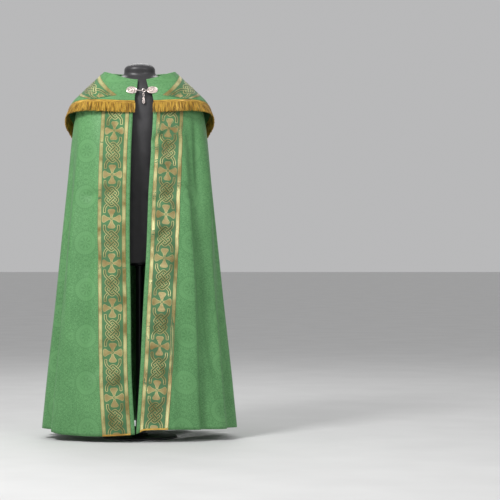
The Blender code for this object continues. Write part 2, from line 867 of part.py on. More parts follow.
def strand(shape, root, down):
    """A three-sided strand of the tassel that widens away from its middle as it hangs."""
    first, second, middle = root
    fall = down * TASSEL_SKIRT
    tips = [shape.verts.new(middle.co + (v.co - middle.co) * TASSEL_FLARE + fall) for v in root[:2]]
    between = (first.co + second.co) / 2 - middle.co
    tips.append(shape.verts.new(middle.co + between * 0.75 + fall))
    shape.faces.new((first, second, tips[1], tips[0]))
    shape.faces.new((second, middle, tips[2], tips[1]))
    shape.faces.new((middle, first, tips[0], tips[2]))
    shape.faces.new(tips)


def clasp_seat(x):
    """The point and the outward normal of the hood's outer face where a rosette is sewn on."""
    phi = 0.0
    for _ in range(20):
        level = hood_level(phi, CLASP_Z)
        point = lifted(hood_point, phi, level, HOOD_CLOTH)
        phi = math.degrees(math.asin(max(-0.9, min(0.9, x / math.hypot(point.x, point.y)))))
    return point, facing(hood_point, phi, level)


def rosette_height(share, turn):
    """The relief of a rosette: a raised rim, petals and a boss, at a share of its radius."""
    petal = 0.5 + 0.5 * math.cos(ROSETTE_PETALS * turn)
    if share > 0.86:
        return 0.80
    if share > 0.70:
        return 0.42
    if share > 0.38:
        return 0.45 + 0.40 * petal
    if share > 0.20:
        return 0.50
    return 1.0


def rosette(name, x):
    """An oval cast rosette with petals in relief, sewn flat on the hood."""
    seat, normal = clasp_seat(x)
    right = Vector((0, 0, 1)).cross(normal).normalized()
    up = normal.cross(right)
    shares = (0.14, 0.28, 0.52, 0.76, 0.88, 1.0)
    sides = 24
    base = seat + normal * ROSETTE_STAND
    shape = bmesh.new()

    def place(share, turn, height):
        across = right * (share * math.cos(turn) * ROSETTE_WIDTH / 2)
        rise = up * (share * math.sin(turn) * ROSETTE_HEIGHT / 2)
        return shape.verts.new(base + across + rise + normal * height)

    rings = []
    for share in shares:
        turns = [2 * math.pi * k / sides for k in range(sides)]
        rings.append([place(share, t, ROSETTE_THICK * rosette_height(share, t)) for t in turns])
    under = [place(1.0, 2 * math.pi * k / sides, 0.0) for k in range(sides)]
    rings.append(under)
    for a, b in zip(rings, rings[1:]):
        for k in range(sides):
            m = (k + 1) % sides
            shape.faces.new((a[k], a[m], b[m], b[k]))
    shape.faces.new(rings[0])
    shape.faces.new(list(reversed(under)))
    return finished(shape, name, SILVER), base + normal * ROSETTE_THICK * 0.4


def wire(name, points, radius, closed=False):
    """A round wire through points, as a mesh with closed ends."""
    curve = bpy.data.curves.new(name, "CURVE")
    curve.dimensions = "3D"
    curve.bevel_depth = radius
    curve.bevel_resolution = 1
    curve.use_fill_caps = True
    spline = curve.splines.new("POLY")
    spline.points.add(len(points) - 1)
    for knot, point in zip(spline.points, points):
        knot.co = (*point, 1)
    spline.use_cyclic_u = closed
    holder = bpy.data.objects.new(name + " path", curve)
    bpy.context.scene.collection.objects.link(holder)
    bpy.context.view_layer.update()
    graph = bpy.context.evaluated_depsgraph_get()
    mesh = bpy.data.meshes.new_from_object(holder.evaluated_get(graph))
    mesh.name = name
    bpy.data.objects.remove(holder)
    shape = bmesh.new()
    shape.from_mesh(mesh)
    bmesh.ops.remove_doubles(shape, verts=shape.verts, dist=1e-6)
    bmesh.ops.recalc_face_normals(shape, faces=shape.faces)
    shape.to_mesh(mesh)
    shape.free()
    mesh.materials.clear()
    mesh.materials.append(material(SILVER))
    mesh.shade_smooth()
    obj = bpy.data.objects.new(name, mesh)
    bpy.context.scene.collection.objects.link(obj)
    return obj


def eye_centre():
    """The middle of the eye's ring, level with the rosettes and between them."""
    left, _ = clasp_seat(ROSETTE_LEFT_X)
    right, _ = clasp_seat(ROSETTE_RIGHT_X)
    return Vector((EYE_X, min(left.y, right.y) - 0.003, CLASP_Z))


def ring_points(centre, first, second, count):
    """Points of an oval: first and second are its half axes."""
    made = []
    for k in range(count):
        turn = 2 * math.pi * k / count
        made.append(centre + first * math.cos(turn) + second * math.sin(turn))
    return made


def clasp():
    """The hook half and the eye half of the clasp, fastened."""
    eye = eye_centre()
    hook_plate, root = rosette("clasp_hook", ROSETTE_LEFT_X)
    bend = eye + Vector((-EYE_RADIUS, 0, 0))
    clear = 0.0032
    reach = 0.0042
    path = [
        root,
        root.lerp(bend, 0.55) + Vector((0, -0.0015, 0)),
        bend + Vector((-0.004, -clear, 0)),
        bend + Vector((0.0, -clear, 0)),
    ]
    for k in range(1, 6):
        turn = math.pi * k / 6
        path.append(bend + Vector((reach * math.sin(turn), -clear * math.cos(turn), 0)))
    path += [bend + Vector((0.0, clear, 0)), bend + Vector((-0.004, clear, 0))]
    combine(hook_plate, wire("hook wire", path, WIRE), "UNION")
    eye_plate, root = rosette("clasp_eye", ROSETTE_RIGHT_X)
    across, rise = Vector((EYE_RADIUS, 0, 0)), Vector((0, 0, EYE_RADIUS))
    ring = wire("eye ring", ring_points(eye, across, rise, 20), WIRE, closed=True)
    rim = eye + Vector((EYE_RADIUS, 0, 0))
    arm = wire("eye arm", [root, root.lerp(rim, 0.6) + Vector((0, -0.001, 0)), rim], WIRE * 1.1)
    combine(arm, ring, "UNION")
    combine(eye_plate, arm, "UNION")


def drop():
    """The chain and drop that hang from the eye: links turned a quarter each, then a flat drop."""
    eye = eye_centre()
    carrier_top = eye.z - EYE_RADIUS + WIRE
    for i in range(LINKS):
        top = carrier_top + LINK_PLAY + LINK_WIRE
        centre = Vector((eye.x, eye.y, top - LINK_LENGTH / 2 + LINK_WIRE))
        half_long = Vector((0, 0, LINK_LENGTH / 2 - LINK_WIRE))
        wide = LINK_WIDTH / 2 - LINK_WIRE
        half_wide = Vector((0, wide, 0)) if i % 2 == 0 else Vector((wide, 0, 0))
        points = ring_points(centre, half_wide, half_long, 16)
        wire(f"drop_link_{i + 1}", points, LINK_WIRE, closed=True)
        carrier_top = centre.z - half_long.z + LINK_WIRE
    loop = 0.0030
    top = carrier_top + LINK_PLAY + LINK_WIRE
    centre = Vector((eye.x, eye.y, top - loop))
    points = ring_points(centre, Vector((loop, 0, 0)), Vector((0, 0, loop)), 14)
    ring = wire("drop_pendant", points, LINK_WIRE, closed=True)
    low = centre.z - loop
    outline = pointed_oval(DROP_WIDTH, DROP_LENGTH, low - DROP_LENGTH / 2 + LINK_WIRE, 7)
    outline = [(x + eye.x, z) for x, z in outline]
    plate = prism("drop plate", outline, eye.y - 0.0012, eye.y + 0.0012)
    combine(ring, plate, "UNION")


def dress_form():
    """The torso with its neck cap, closed below, on a post and a round base."""
    rings = []
    shape = bmesh.new()
    for section in FORM_SECTIONS:
        ring = []
        for k in range(FORM_SIDES):
            phi = 360 * k / FORM_SIDES
            reach = radius_at(
                phi, section.half_width, section.front_depth, section.back_depth, FORM_ROUNDNESS
            )
            angle = math.radians(phi)
            spot = (reach * math.sin(angle), -reach * math.cos(angle), section.z)
            ring.append(shape.verts.new(spot))
        rings.append(ring)
    for a, b in zip(rings, rings[1:]):
        for k in range(FORM_SIDES):
            m = (k + 1) % FORM_SIDES
            shape.faces.new((a[k], a[m], b[m], b[k]))
    shape.faces.new(list(reversed(rings[0])))
    shape.faces.new(rings[-1])
    finished(shape, "form_torso", FORM_BLACK)
    torso_foot = FORM_SECTIONS[-1].z
    turned("form_base", base_profile(), 40, STEEL_BLACK)
    turned("form_post", post_profile(torso_foot), 18, STEEL_BLACK)


def base_profile():
    """Half of the base's outline as (radius, height), from the middle of its underside outwards and up."""
    return [
        (BASE_RADIUS - 0.002, 0.0),
        (BASE_RADIUS, 0.002),
        (BASE_RADIUS, BASE_THICK - 0.003),
        (BASE_RADIUS - 0.004, BASE_THICK),
        (HUB_RADIUS + 0.006, BASE_THICK + 0.003),
        (HUB_RADIUS, BASE_THICK + 0.009),
        (HUB_RADIUS - 0.002, HUB_HEIGHT),
    ]


def post_profile(torso_foot):
    """Half of the post's outline: it stands on the hub and ends in a flange under the torso."""
    top = torso_foot - GAP
    return [
        (POST_RADIUS, HUB_HEIGHT + GAP),
        (POST_RADIUS, top - 0.012),
        (POST_RADIUS + 0.024, top - 0.006),
        (POST_RADIUS + 0.024, top),
    ]


def turned(name, profile, sides, finish):
    """A round solid turned about the Z axis from a profile that runs upwards."""
    shape = bmesh.new()
    rings = []
    for radius, z in profile:
        turns = [2 * math.pi * k / sides for k in range(sides)]
        rings.append([shape.verts.new((radius * math.cos(t), radius * math.sin(t), z)) for t in turns])
    for a, b in zip(rings, rings[1:]):
        for k in range(sides):
            m = (k + 1) % sides
            shape.faces.new((a[k], a[m], b[m], b[k]))
    shape.faces.new(list(reversed(rings[0])))
    shape.faces.new(rings[-1])
    return finished(shape, name, finish)


def main():
    """Build every piece of the cope and of its stand."""
    clear_scene()
    dress_form()
    cope_panels()
    hood()
    fringe("left")
    fringe("right")
    tassel()
    clasp()
    drop()


main()
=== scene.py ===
"""Looks of a liturgical cope on a limbless dress form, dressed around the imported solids.

Metres, +Z up, the open front towards -Y. A place on the cloth is (phi, level): phi is the angle round the
wearer in degrees, 0 at the front and 90 at the viewer's right, and level counts the sections from the neck.
"""

import logging
import math
from dataclasses import dataclass, field
from enum import Enum
from typing import Callable, NamedTuple, Sequence

import bmesh
import bpy
import numpy as np
from mathutils import Matrix, Vector

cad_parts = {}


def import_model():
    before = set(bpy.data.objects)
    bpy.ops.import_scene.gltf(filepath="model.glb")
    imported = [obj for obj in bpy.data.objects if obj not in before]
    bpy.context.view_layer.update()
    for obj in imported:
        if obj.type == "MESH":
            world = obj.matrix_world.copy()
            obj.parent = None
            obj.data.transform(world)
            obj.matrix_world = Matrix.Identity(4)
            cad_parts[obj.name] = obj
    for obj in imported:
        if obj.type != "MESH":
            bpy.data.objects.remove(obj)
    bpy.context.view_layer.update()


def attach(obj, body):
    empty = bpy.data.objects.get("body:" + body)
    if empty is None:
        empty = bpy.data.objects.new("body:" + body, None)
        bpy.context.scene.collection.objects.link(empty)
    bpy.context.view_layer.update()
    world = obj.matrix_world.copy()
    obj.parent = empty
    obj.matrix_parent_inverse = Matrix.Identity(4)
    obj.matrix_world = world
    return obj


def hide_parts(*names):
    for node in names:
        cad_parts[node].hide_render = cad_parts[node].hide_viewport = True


LOG = logging.getLogger("cope")
Array = np.ndarray
Surface = Callable[[Array, Array], Array]
Node = bpy.types.ShaderNode
Material = bpy.types.Material
Thing = bpy.types.Object
Socket = bpy.types.NodeSocket
BODY = "cope"
DROP = "drop"

GAP = 0.0003
CLOTH = 0.0016
GALLOON = 0.0012
HOOD_CLOTH = 0.0020
APPLIQUE = 0.0010
MARGIN = 0.016
BAND_WIDTH = 0.116
SEAM_ANGLE = 96.0
HOOD_BAND_WIDTH = 0.115
MEDALLION_HEIGHT = 0.242
MEDALLION_WIDTH = 0.192
MEDALLION_Z = 1.311
ARM_ROOT_Z = 1.277
ARM_START = 0.067
STEM_CROSS = 0.153
THREAD_SUNK = 0.00008
SPRAYS_SUNK = 0.0001
HALF_BEAM = 0.0388
ROUNDNESS = 2.25
DIP_AT_NECK = 1.50
DIP_BELOW = 0.62
DIP_LEVEL = 2.0


class Side(Enum):
    """Which half of the cope a piece is on, as the viewer of its front sees it."""

    LEFT = "left"
    RIGHT = "right"

    @property
    def way(self) -> int:
        """1 towards +X, -1 towards -X."""
        return 1 if self is Side.RIGHT else -1


class Section(NamedTuple):
    """A level of the cope: its heights and half axes."""

    z_front: float
    z_side: float
    z_back: float
    half_width: float
    front_depth: float
    back_depth: float


SECTIONS = [
    Section(*row)
    for row in (
        (1.470, 1.507, 1.502, 0.143, 0.088, 0.080), (1.430, 1.470, 1.464, 0.177, 0.107, 0.112),
        (1.368, 1.421, 1.408, 0.217, 0.132, 0.147), (1.290, 1.350, 1.320, 0.258, 0.158, 0.176),
        (1.190, 1.235, 1.200, 0.278, 0.178, 0.199), (1.020, 1.040, 1.025, 0.298, 0.194, 0.230),
        (0.800, 0.800, 0.800, 0.323, 0.208, 0.272), (0.550, 0.550, 0.550, 0.348, 0.219, 0.312),
        (0.290, 0.290, 0.290, 0.377, 0.229, 0.354), (0.034, 0.034, 0.036, 0.403, 0.238, 0.392),
    )
]
HEM_LEVEL = len(SECTIONS) - 1


class Sway(NamedTuple):
    """How much higher than its level the hem hangs at an angle."""

    phi: float
    rise: float


HEM_SWAY = [
    Sway(*row)
    for row in (
        (-180, 0.000), (-140, 0.000), (-96, 0.009), (-78, 0.006), (-62, -0.008), (-35, -0.009),
        (-4, 0.000), (4, 0.016), (30, 0.018), (60, 0.014), (96, 0.011), (140, 0.000), (180, 0.000),
    )
]


class Edge(NamedTuple):
    """Where the front edges lie at a height."""

    z: float
    left: float
    right: float


FRONT_EDGES = [
    Edge(*row)
    for row in (
        (1.480, -0.007, 0.025), (1.435, -0.011, 0.036), (1.396, -0.021, 0.057), (1.345, -0.027, 0.055),
        (1.200, -0.034, 0.047), (1.000, -0.039, 0.035), (0.780, -0.040, 0.027), (0.550, -0.036, 0.014),
        (0.330, -0.034, 0.004), (0.200, -0.029, -0.004), (0.040, -0.019, -0.014),
    )
]


class Trough(NamedTuple):
    """The trough of a hanging fold."""

    phi: float
    half_width: float
    depth: float
    start: float


TROUGHS = [
    Trough(*row)
    for row in (
        (-77, 6.5, 0.026, 5.0), (-55, 10.0, 0.012, 3.6), (38, 8.0, 0.006, 3.2), (58, 9.0, 0.036, 2.8),
        (76, 7.0, 0.024, 5.2), (92, 8.0, 0.050, 3.8), (108, 8.0, 0.062, 3.4), (125, 9.0, 0.070, 3.6),
        (143, 9.0, 0.052, 4.4), (160, 8.0, 0.060, 3.8), (177, 9.0, 0.042, 4.6), (195, 9.0, 0.064, 3.6),
        (213, 9.0, 0.050, 4.4), (231, 9.0, 0.072, 3.4), (249, 9.0, 0.058, 3.8), (266, 8.0, 0.050, 4.0),
    )
]


class Crease(NamedTuple):
    """A soft crease from one place to another: positive depth is a trough, negative a ridge."""

    phi_start: float
    z_start: float
    phi_end: float
    z_end: float
    width: float
    depth: float


CREASES = [
    Crease(*row)
    for row in (
        (10, 1.190, 46, 1.272, 0.020, 0.0156), (14, 1.120, 44, 1.160, 0.018, -0.0078),
        (12, 0.950, 40, 1.020, 0.018, 0.0123), (10, 0.800, 38, 0.862, 0.020, 0.0137),
        (14, 0.735, 40, 0.765, 0.018, -0.0059), (8, 0.610, 34, 0.655, 0.018, 0.0104),
        (6, 0.430, 32, 0.480, 0.020, 0.0111), (4, 0.250, 28, 0.290, 0.020, 0.0097),
        (30, 1.360, 38, 1.060, 0.016, 0.0078), (42, 1.040, 58, 1.012, 0.011, 0.0101),
        (44, 0.985, 56, 0.998, 0.010, 0.0056), (48, 1.340, 50, 0.160, 0.026, -0.0130),
        (66, 1.350, 64, 0.900, 0.015, 0.0210), (64, 0.900, 67, 0.060, 0.020, 0.0320),
        (54, 0.760, 60, 0.060, 0.015, -0.0096), (76, 1.300, 70, 0.700, 0.018, -0.0091),
        (82, 1.240, 80, 0.480, 0.014, 0.0130), (46, 0.560, 36, 0.200, 0.026, 0.0104),
        (-40, 1.006, -62, 0.994, 0.011, 0.0096), (-44, 0.975, -58, 0.985, 0.010, 0.0048),
        (-28, 1.330, -44, 1.210, 0.024, 0.0078), (-67, 1.310, -65, 0.350, 0.018, -0.0104),
        (-78, 1.320, -76, 0.160, 0.022, 0.0200), (-50, 1.120, -52, 0.160, 0.030, 0.0078),
        (-34, 0.820, -56, 0.660, 0.030, 0.0091), (-30, 0.360, -50, 0.240, 0.026, 0.0091),
        (-8, 0.700, -26, 0.640, 0.018, 0.0046), (-8, 0.420, -28, 0.370, 0.018, 0.0052),
        (110, 1.050, 122, 0.930, 0.022, 0.0075), (150, 0.880, 138, 0.760, 0.024, 0.0075),
        (168, 0.980, 174, 0.420, 0.016, 0.0070), (205, 0.900, 216, 0.780, 0.022, 0.0075),
        (222, 0.860, 224, 0.260, 0.018, -0.0070), (240, 1.060, 232, 0.900, 0.024, 0.0075),
        (186, 0.640, 170, 0.540, 0.022, 0.0055), (134, 0.620, 133, 0.160, 0.018, -0.0070),
    )
]
HOOD_CREASES = [
    Crease(*row)
    for row in (
        (24, 1.462, 62, 1.432, 0.012, -0.0016), (-24, 1.462, -60, 1.430, 0.012, -0.0016),
        (96, 1.470, 112, 1.300, 0.022, -0.0030), (-96, 1.468, -110, 1.310, 0.022, -0.0030),
        (124, 1.400, 132, 1.200, 0.026, -0.0026), (-120, 1.380, -134, 1.190, 0.024, -0.0026),
        (150, 1.240, 158, 1.080, 0.024, -0.0024), (-150, 1.220, -160, 1.090, 0.024, -0.0024),
        (-166, 1.440, 168, 1.448, 0.014, -0.0018),
    )
]


class HoodEdge(NamedTuple):
    """The height of the hood's lower edge at an angle from the front."""

    phi: float
    z: float


HOOD_EDGE = [
    HoodEdge(*row)
    for row in (
        (0, 1.382), (35, 1.384), (60, 1.388), (72, 1.387), (81, 1.379), (90, 1.361), (98, 1.337),
        (107, 1.307), (116, 1.262), (123, 1.213), (132, 1.161), (142, 1.112), (153, 1.067), (166, 1.028),
        (180, 0.995),
    )
]


class Stand(NamedTuple):
    """How far the hood's inner face lies outside the cope's inner face."""

    level: float
    front: float
    side: float
    back: float


HOOD_STAND = [
    Stand(*row)
    for row in (
        (0, 0.0045, 0.0040, 0.0022), (1, 0.0050, 0.0060, 0.0050), (2, 0.0070, 0.0150, 0.0085),
        (3, 0.0080, 0.0330, 0.0120), (4, 0.0080, 0.0330, 0.0150), (6, 0.0080, 0.0240, 0.0200),
    )
]


def smooth_column(values: Sequence[float], position: Array) -> Array:
    """Values of a column at whole or broken row numbers, on a smooth curve through the rows.

    Args:
        values: the column.
        position: row numbers.

    Returns:
        The values there.
    """
    column = np.asarray(values, float)
    last = len(column) - 1
    held = np.clip(position, 0, last)
    row = np.minimum(last - 1, held.astype(int))
    t = held - row
    start, end = column[row], column[row + 1]
    before = np.where(row > 0, column[np.maximum(row - 1, 0)], 2 * start - end)
    after = np.where(row + 2 <= last, column[np.minimum(row + 2, last)], 2 * end - start)
    slope_in, slope_out = (end - before) / 2, (after - start) / 2
    square, cube = t * t, t * t * t
    shaped = (2 * cube - 3 * square + 1) * start + (cube - 2 * square + t) * slope_in
    return shaped + (3 * square - 2 * cube) * end + (cube - square) * slope_out


def looked_up(table: Sequence[NamedTuple], key_name: str, value_name: str, key: Array) -> Array:
    """A table's value at keys, smooth between its rows.

    Args:
        table: rows sorted by the key.
        key_name: the key's column.
        value_name: the value's column.
        key: keys to look up.

    Returns:
        The values.
    """
    keys = np.array([getattr(row, key_name) for row in table], float)
    values = [getattr(row, value_name) for row in table]
    rows = np.arange(len(keys), dtype=float)
    if keys[0] > keys[-1]:
        position = np.interp(key, keys[::-1], rows[::-1])
    else:
        position = np.interp(key, keys, rows)
    return smooth_column(values, position)


class Drape:
    """The cope's and the hood's surfaces as functions of phi and level."""

    def size(self, name: str, level: Array) -> Array:
        """One size of the cope at levels."""
        values = [getattr(row, name) for row in SECTIONS]
        beyond = np.maximum(0.0, level - HEM_LEVEL) * (values[-1] - values[-2])
        return smooth_column(values, level) + beyond

    def height(self, phi: Array, level: Array) -> Array:
        """The height of the surface."""
        cosine = np.cos(np.radians(phi))
        side = self.size("z_side", level)
        front = self.size("z_front", level) - side
        back = self.size("z_back", level) - side
        bend = DIP_BELOW + (DIP_AT_NECK - DIP_BELOW) * np.maximum(0.0, 1 - level / DIP_LEVEL)
        ahead = 1 - np.maximum(0.0, 1 - cosine * cosine) ** bend
        sway = looked_up(HEM_SWAY, "phi", "rise", (phi + 180) % 360 - 180) * (level / HEM_LEVEL) ** 3
        return side + sway + np.where(cosine > 0, front * ahead, back * cosine * cosine)

    def crest(self, phi: Array, level: Array) -> Array:
        """The cope's inner face with no folds."""
        angle = np.radians(phi)
        sine, cosine = np.sin(angle), np.cos(angle)
        depth = np.where(cosine > 0, self.size("front_depth", level), self.size("back_depth", level))
        across = (np.abs(sine) / self.size("half_width", level)) ** ROUNDNESS
        reach = (across + (np.abs(cosine) / depth) ** ROUNDNESS) ** (-1 / ROUNDNESS)
        return np.stack([reach * sine, -reach * cosine, self.height(phi, level)], -1)

    def fold_depth(self, phi: Array, level: Array) -> Array:
        """How far the folds draw the cloth in."""
        total = np.zeros(np.broadcast(phi, level).shape)
        for trough in TROUGHS:
            away = (phi - trough.phi + 180) % 360 - 180
            grown = np.clip((level - trough.start) / (HEM_LEVEL - trough.start), 0, 1)
            gain = np.sin(math.pi / 2 * grown) ** 1.3
            wave = 0.5 + 0.5 * np.cos(math.pi * np.clip(away / trough.half_width, -1, 1))
            total += trough.depth * gain * wave
        return total

    def crease_depth(self, phi: Array, point: Array, creases: Sequence[Crease]) -> Array:
        """How far the small creases draw the cloth in."""
        reach = np.hypot(point[..., 0], point[..., 1])
        total = np.zeros(reach.shape)
        for crease in creases:
            across = np.radians((phi - crease.phi_start + 180) % 360 - 180) * reach
            along = point[..., 2] - crease.z_start
            turned = (crease.phi_end - crease.phi_start + 180) % 360 - 180
            run = np.radians(turned) * reach
            rise = crease.z_end - crease.z_start
            length = np.sqrt(run * run + rise * rise)
            share = (across * run + along * rise) / (length * length)
            off = (across * rise - along * run) / length
            ends = np.sin(math.pi * np.clip(share, 0, 1)) ** 1.2
            total += crease.depth * ends * np.exp(-((off / crease.width) ** 2))
        return total

    def cope(self, phi: Array, level: Array) -> Array:
        """The cope's inner face, with its folds and creases."""
        point = self.crest(phi, level)
        reach = np.hypot(point[..., 0], point[..., 1])
        drawn = self.fold_depth(phi, level) + self.crease_depth(phi, point, CREASES)
        shrink = 1 - drawn / reach
        return np.stack([point[..., 0] * shrink, point[..., 1] * shrink, point[..., 2]], -1)

    def hood_stand(self, phi: Array, level: Array) -> Array:
        """How far the hood stands off the cope."""
        cosine = np.cos(np.radians(phi))
        side = looked_up(HOOD_STAND, "level", "side", level)
        front = looked_up(HOOD_STAND, "level", "front", level)
        back = looked_up(HOOD_STAND, "level", "back", level)
        return side + (np.where(cosine > 0, front, back) - side) * cosine * cosine

    def hood(self, phi: Array, level: Array) -> Array:
        """The hood's inner face, with its soft creases."""
        stand = self.hood_stand(phi, level)
        stand = stand - self.crease_depth(phi, self.crest(phi, level), HOOD_CREASES)
        return lifted(self.crest, phi, level, stand)

    def hood_level(self, phi: Array, z: Array) -> Array:
        """The level at which the hood reaches a height."""
        shape = np.broadcast(phi, z).shape
        low, high = np.zeros(shape), np.full(shape, 6.0)
        for _ in range(24):
            middle = (low + high) / 2
            above = self.hood(phi, middle)[..., 2] > z
            low, high = np.where(above, middle, low), np.where(above, high, middle)
        return (low + high) / 2

    def front_angle(self, level: Array, side: Side) -> Array:
        """The angle of the front edge."""
        phi = np.zeros(np.shape(level))
        for _ in range(12):
            point = self.crest(phi, level)
            wanted = looked_up(FRONT_EDGES, "z", side.value, point[..., 2])
            phi = np.degrees(np.arcsin(wanted / np.hypot(point[..., 0], point[..., 1])))
        return phi

    def angles_after(self, level: Array, start: Array, distances: Array) -> Array:
        """Angles reached by going distances along the cloth from starting angles.

        Args:
            level: one level for each row.
            start: the starting angle of each row.
            distances: distances of one sign, in order away from zero.

        Returns:
            A row of angles for each level.
        """
        way = math.copysign(1.0, distances[-1])
        steps = np.arange(0, 440) * 0.25 * way
        phi = start[:, None] + steps[None, :]
        points = self.cope(phi, np.broadcast_to(level[:, None], phi.shape))
        strides = np.linalg.norm(np.diff(points, axis=1), axis=-1)
        run = np.concatenate([np.zeros((len(level), 1)), np.cumsum(strides, axis=1)], axis=1)
        wanted = np.abs(distances)
        return np.array([np.interp(wanted, run[i], phi[i]) for i in range(len(level))])


def unit(vectors: Array) -> Array:
    """Vectors drawn out or in to a length of one."""
    return vectors / np.linalg.norm(vectors, axis=-1, keepdims=True)


def run_of(points: Array) -> Array:
    """How far along a line each of its points lies."""
    return np.concatenate([[0.0], np.cumsum(np.linalg.norm(np.diff(points, axis=0), axis=-1))])


def tube_faces(start: int, rings: int, sides: int, closed: bool = False) -> list[tuple[int, ...]]:
    """Faces of a tube whose points run ring by ring.

    Args:
        start: the number of its first point.
        rings: how many rings it has.
        sides: how many points a ring has.
        closed: whether the last ring meets the first; otherwise both ends are capped.

    Returns:
        The faces.
    """
    faces: list[tuple[int, ...]] = []
    for i in range(rings if closed else rings - 1):
        a, b = start + i * sides, start + (i + 1) % rings * sides
        faces += [(a + k, b + k, b + (k + 1) % sides, a + (k + 1) % sides) for k in range(sides)]
    if not closed:
        last = start + (rings - 1) * sides
        faces += [tuple(range(start, start + sides)), tuple(range(last + sides - 1, last - 1, -1))]
    return faces


def facing(surface: Surface, phi: Array, level: Array) -> Array:
    """Outward normals of a surface."""
    turn = surface(phi + 0.5, level) - surface(phi - 0.5, level)
    above = np.maximum(0.0, level - 0.04)
    fall = surface(phi, above + 0.08) - surface(phi, above)
    return unit(np.cross(fall, turn))


def lifted(surface: Surface, phi: Array, level: Array, lift: Array) -> Array:
    """Points of a surface moved out along its normal."""
    return surface(phi, level) + facing(surface, phi, level) * np.asarray(lift)[..., None]


DRAPE = Drape()


@dataclass
class Grid:
    """A grid of points on the cloth with outward normals and flat cloth coordinates in metres."""

    points: Array
    normals: Array
    flat: Array

    @property
    def area(self) -> float:
        """The grid's area in square metres."""
        down = np.diff(self.points, axis=0)[:, :-1]
        across = np.diff(self.points, axis=1)[:-1]
        return float(np.linalg.norm(np.cross(down, across), axis=-1).sum())

    def raised(self, lift: float) -> "Grid":
        """The same grid moved out along its normals."""
        return Grid(self.points + self.normals * lift, self.normals, self.flat)


def grid_on(surface: Surface, phi: Array, level: Array, middle: float = 0.0) -> Grid:
    """A grid over places on a surface, laid flat as part of a cone that opens downwards.

    Args:
        surface: the surface.
        phi: angles, a row for each level.
        level: levels of the same shape.
        middle: the share of each row at which the straight grain runs.

    Returns:
        The grid.
    """
    points = surface(phi, level)
    across = np.linalg.norm(np.diff(points, axis=1), axis=-1)
    run = np.concatenate([np.zeros((len(points), 1)), np.cumsum(across, axis=1)], axis=1)
    down = np.linalg.norm(np.diff(points, axis=0), axis=-1)
    fall = np.concatenate([np.zeros((1, points.shape[1])), np.cumsum(down, axis=0)])
    width, depth = run[:, -1], fall.mean(axis=1)
    spread_per_metre = max(0.05, (width[-1] - width[0]) / depth[-1])
    hidden = width[0] / spread_per_metre
    radius = hidden + fall
    turn = (run - run[:, -1:] * middle) / radius
    flat = np.stack([radius * np.sin(turn), radius * np.cos(turn)], -1)
    return Grid(points, facing(surface, phi, level), flat)


def deselect() -> None:
    """Clear the selection before an operator runs."""
    for obj in bpy.context.selected_objects:
        obj.select_set(False)


def select_only(obj: Thing) -> None:
    """Select one object and make it the active one."""
    deselect()
    obj.select_set(True)
    bpy.context.view_layer.objects.active = obj


def apply_modifiers(obj: Thing) -> None:
    """Apply every modifier of an object."""
    select_only(obj)
    for modifier in list(obj.modifiers):
        bpy.ops.object.modifier_apply(modifier=modifier.name)


def sheet_object(name: str, grid: Grid, thickness: float, material: Material) -> Thing:
    """A cloth shell: a grid primitive laid on the cloth's points and given its thickness outwards.

    Args:
        name: the piece's name.
        grid: the inner face.
        thickness: the cloth's thickness in metres.
        material: the cloth's material.

    Returns:
        The object, its modifiers applied.
    """
    rows, columns = grid.points.shape[:2]
    deselect()
    bpy.ops.mesh.primitive_grid_add(x_subdivisions=columns - 1, y_subdivisions=rows - 1, size=1)
    obj = bpy.context.object
    obj.name = name
    mesh = obj.data
    mesh.name = name
    mesh.vertices.foreach_set("co", grid.points.reshape(-1).astype(np.float32))
    mesh.update()
    corners = np.zeros(len(mesh.loops), np.int32)
    mesh.loops.foreach_get("vertex_index", corners)
    while mesh.uv_layers:
        mesh.uv_layers.remove(mesh.uv_layers[0])
    layer = mesh.uv_layers.new(name="cloth")
    layer.data.foreach_set("uv", grid.flat.reshape(-1, 2)[corners].astype(np.float32).reshape(-1))
    normals = np.zeros(len(mesh.polygons) * 3, np.float32)
    mesh.polygons.foreach_get("normal", normals)
    outward = (grid.normals[:-1, :-1].reshape(-1, 3) * normals.reshape(-1, 3)).sum()
    if outward < 0:
        mesh.flip_normals()
    mesh.materials.clear()
    mesh.materials.append(material)
    solid = obj.modifiers.new("thickness", "SOLIDIFY")
    solid.thickness = thickness
    solid.offset = 1.0
    solid.use_quality_normals = True
    apply_modifiers(obj)
    mesh.shade_smooth()
    return obj


def dress(obj: Thing, nodes: Sequence[str] = (), body: str = BODY) -> Thing:
    """Ride a piece on its body and the solids that it stands for."""
    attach(obj, body)
    if nodes:
        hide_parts(*nodes)
    LOG.info("%s: %d faces", obj.name, len(obj.data.polygons))
    return obj


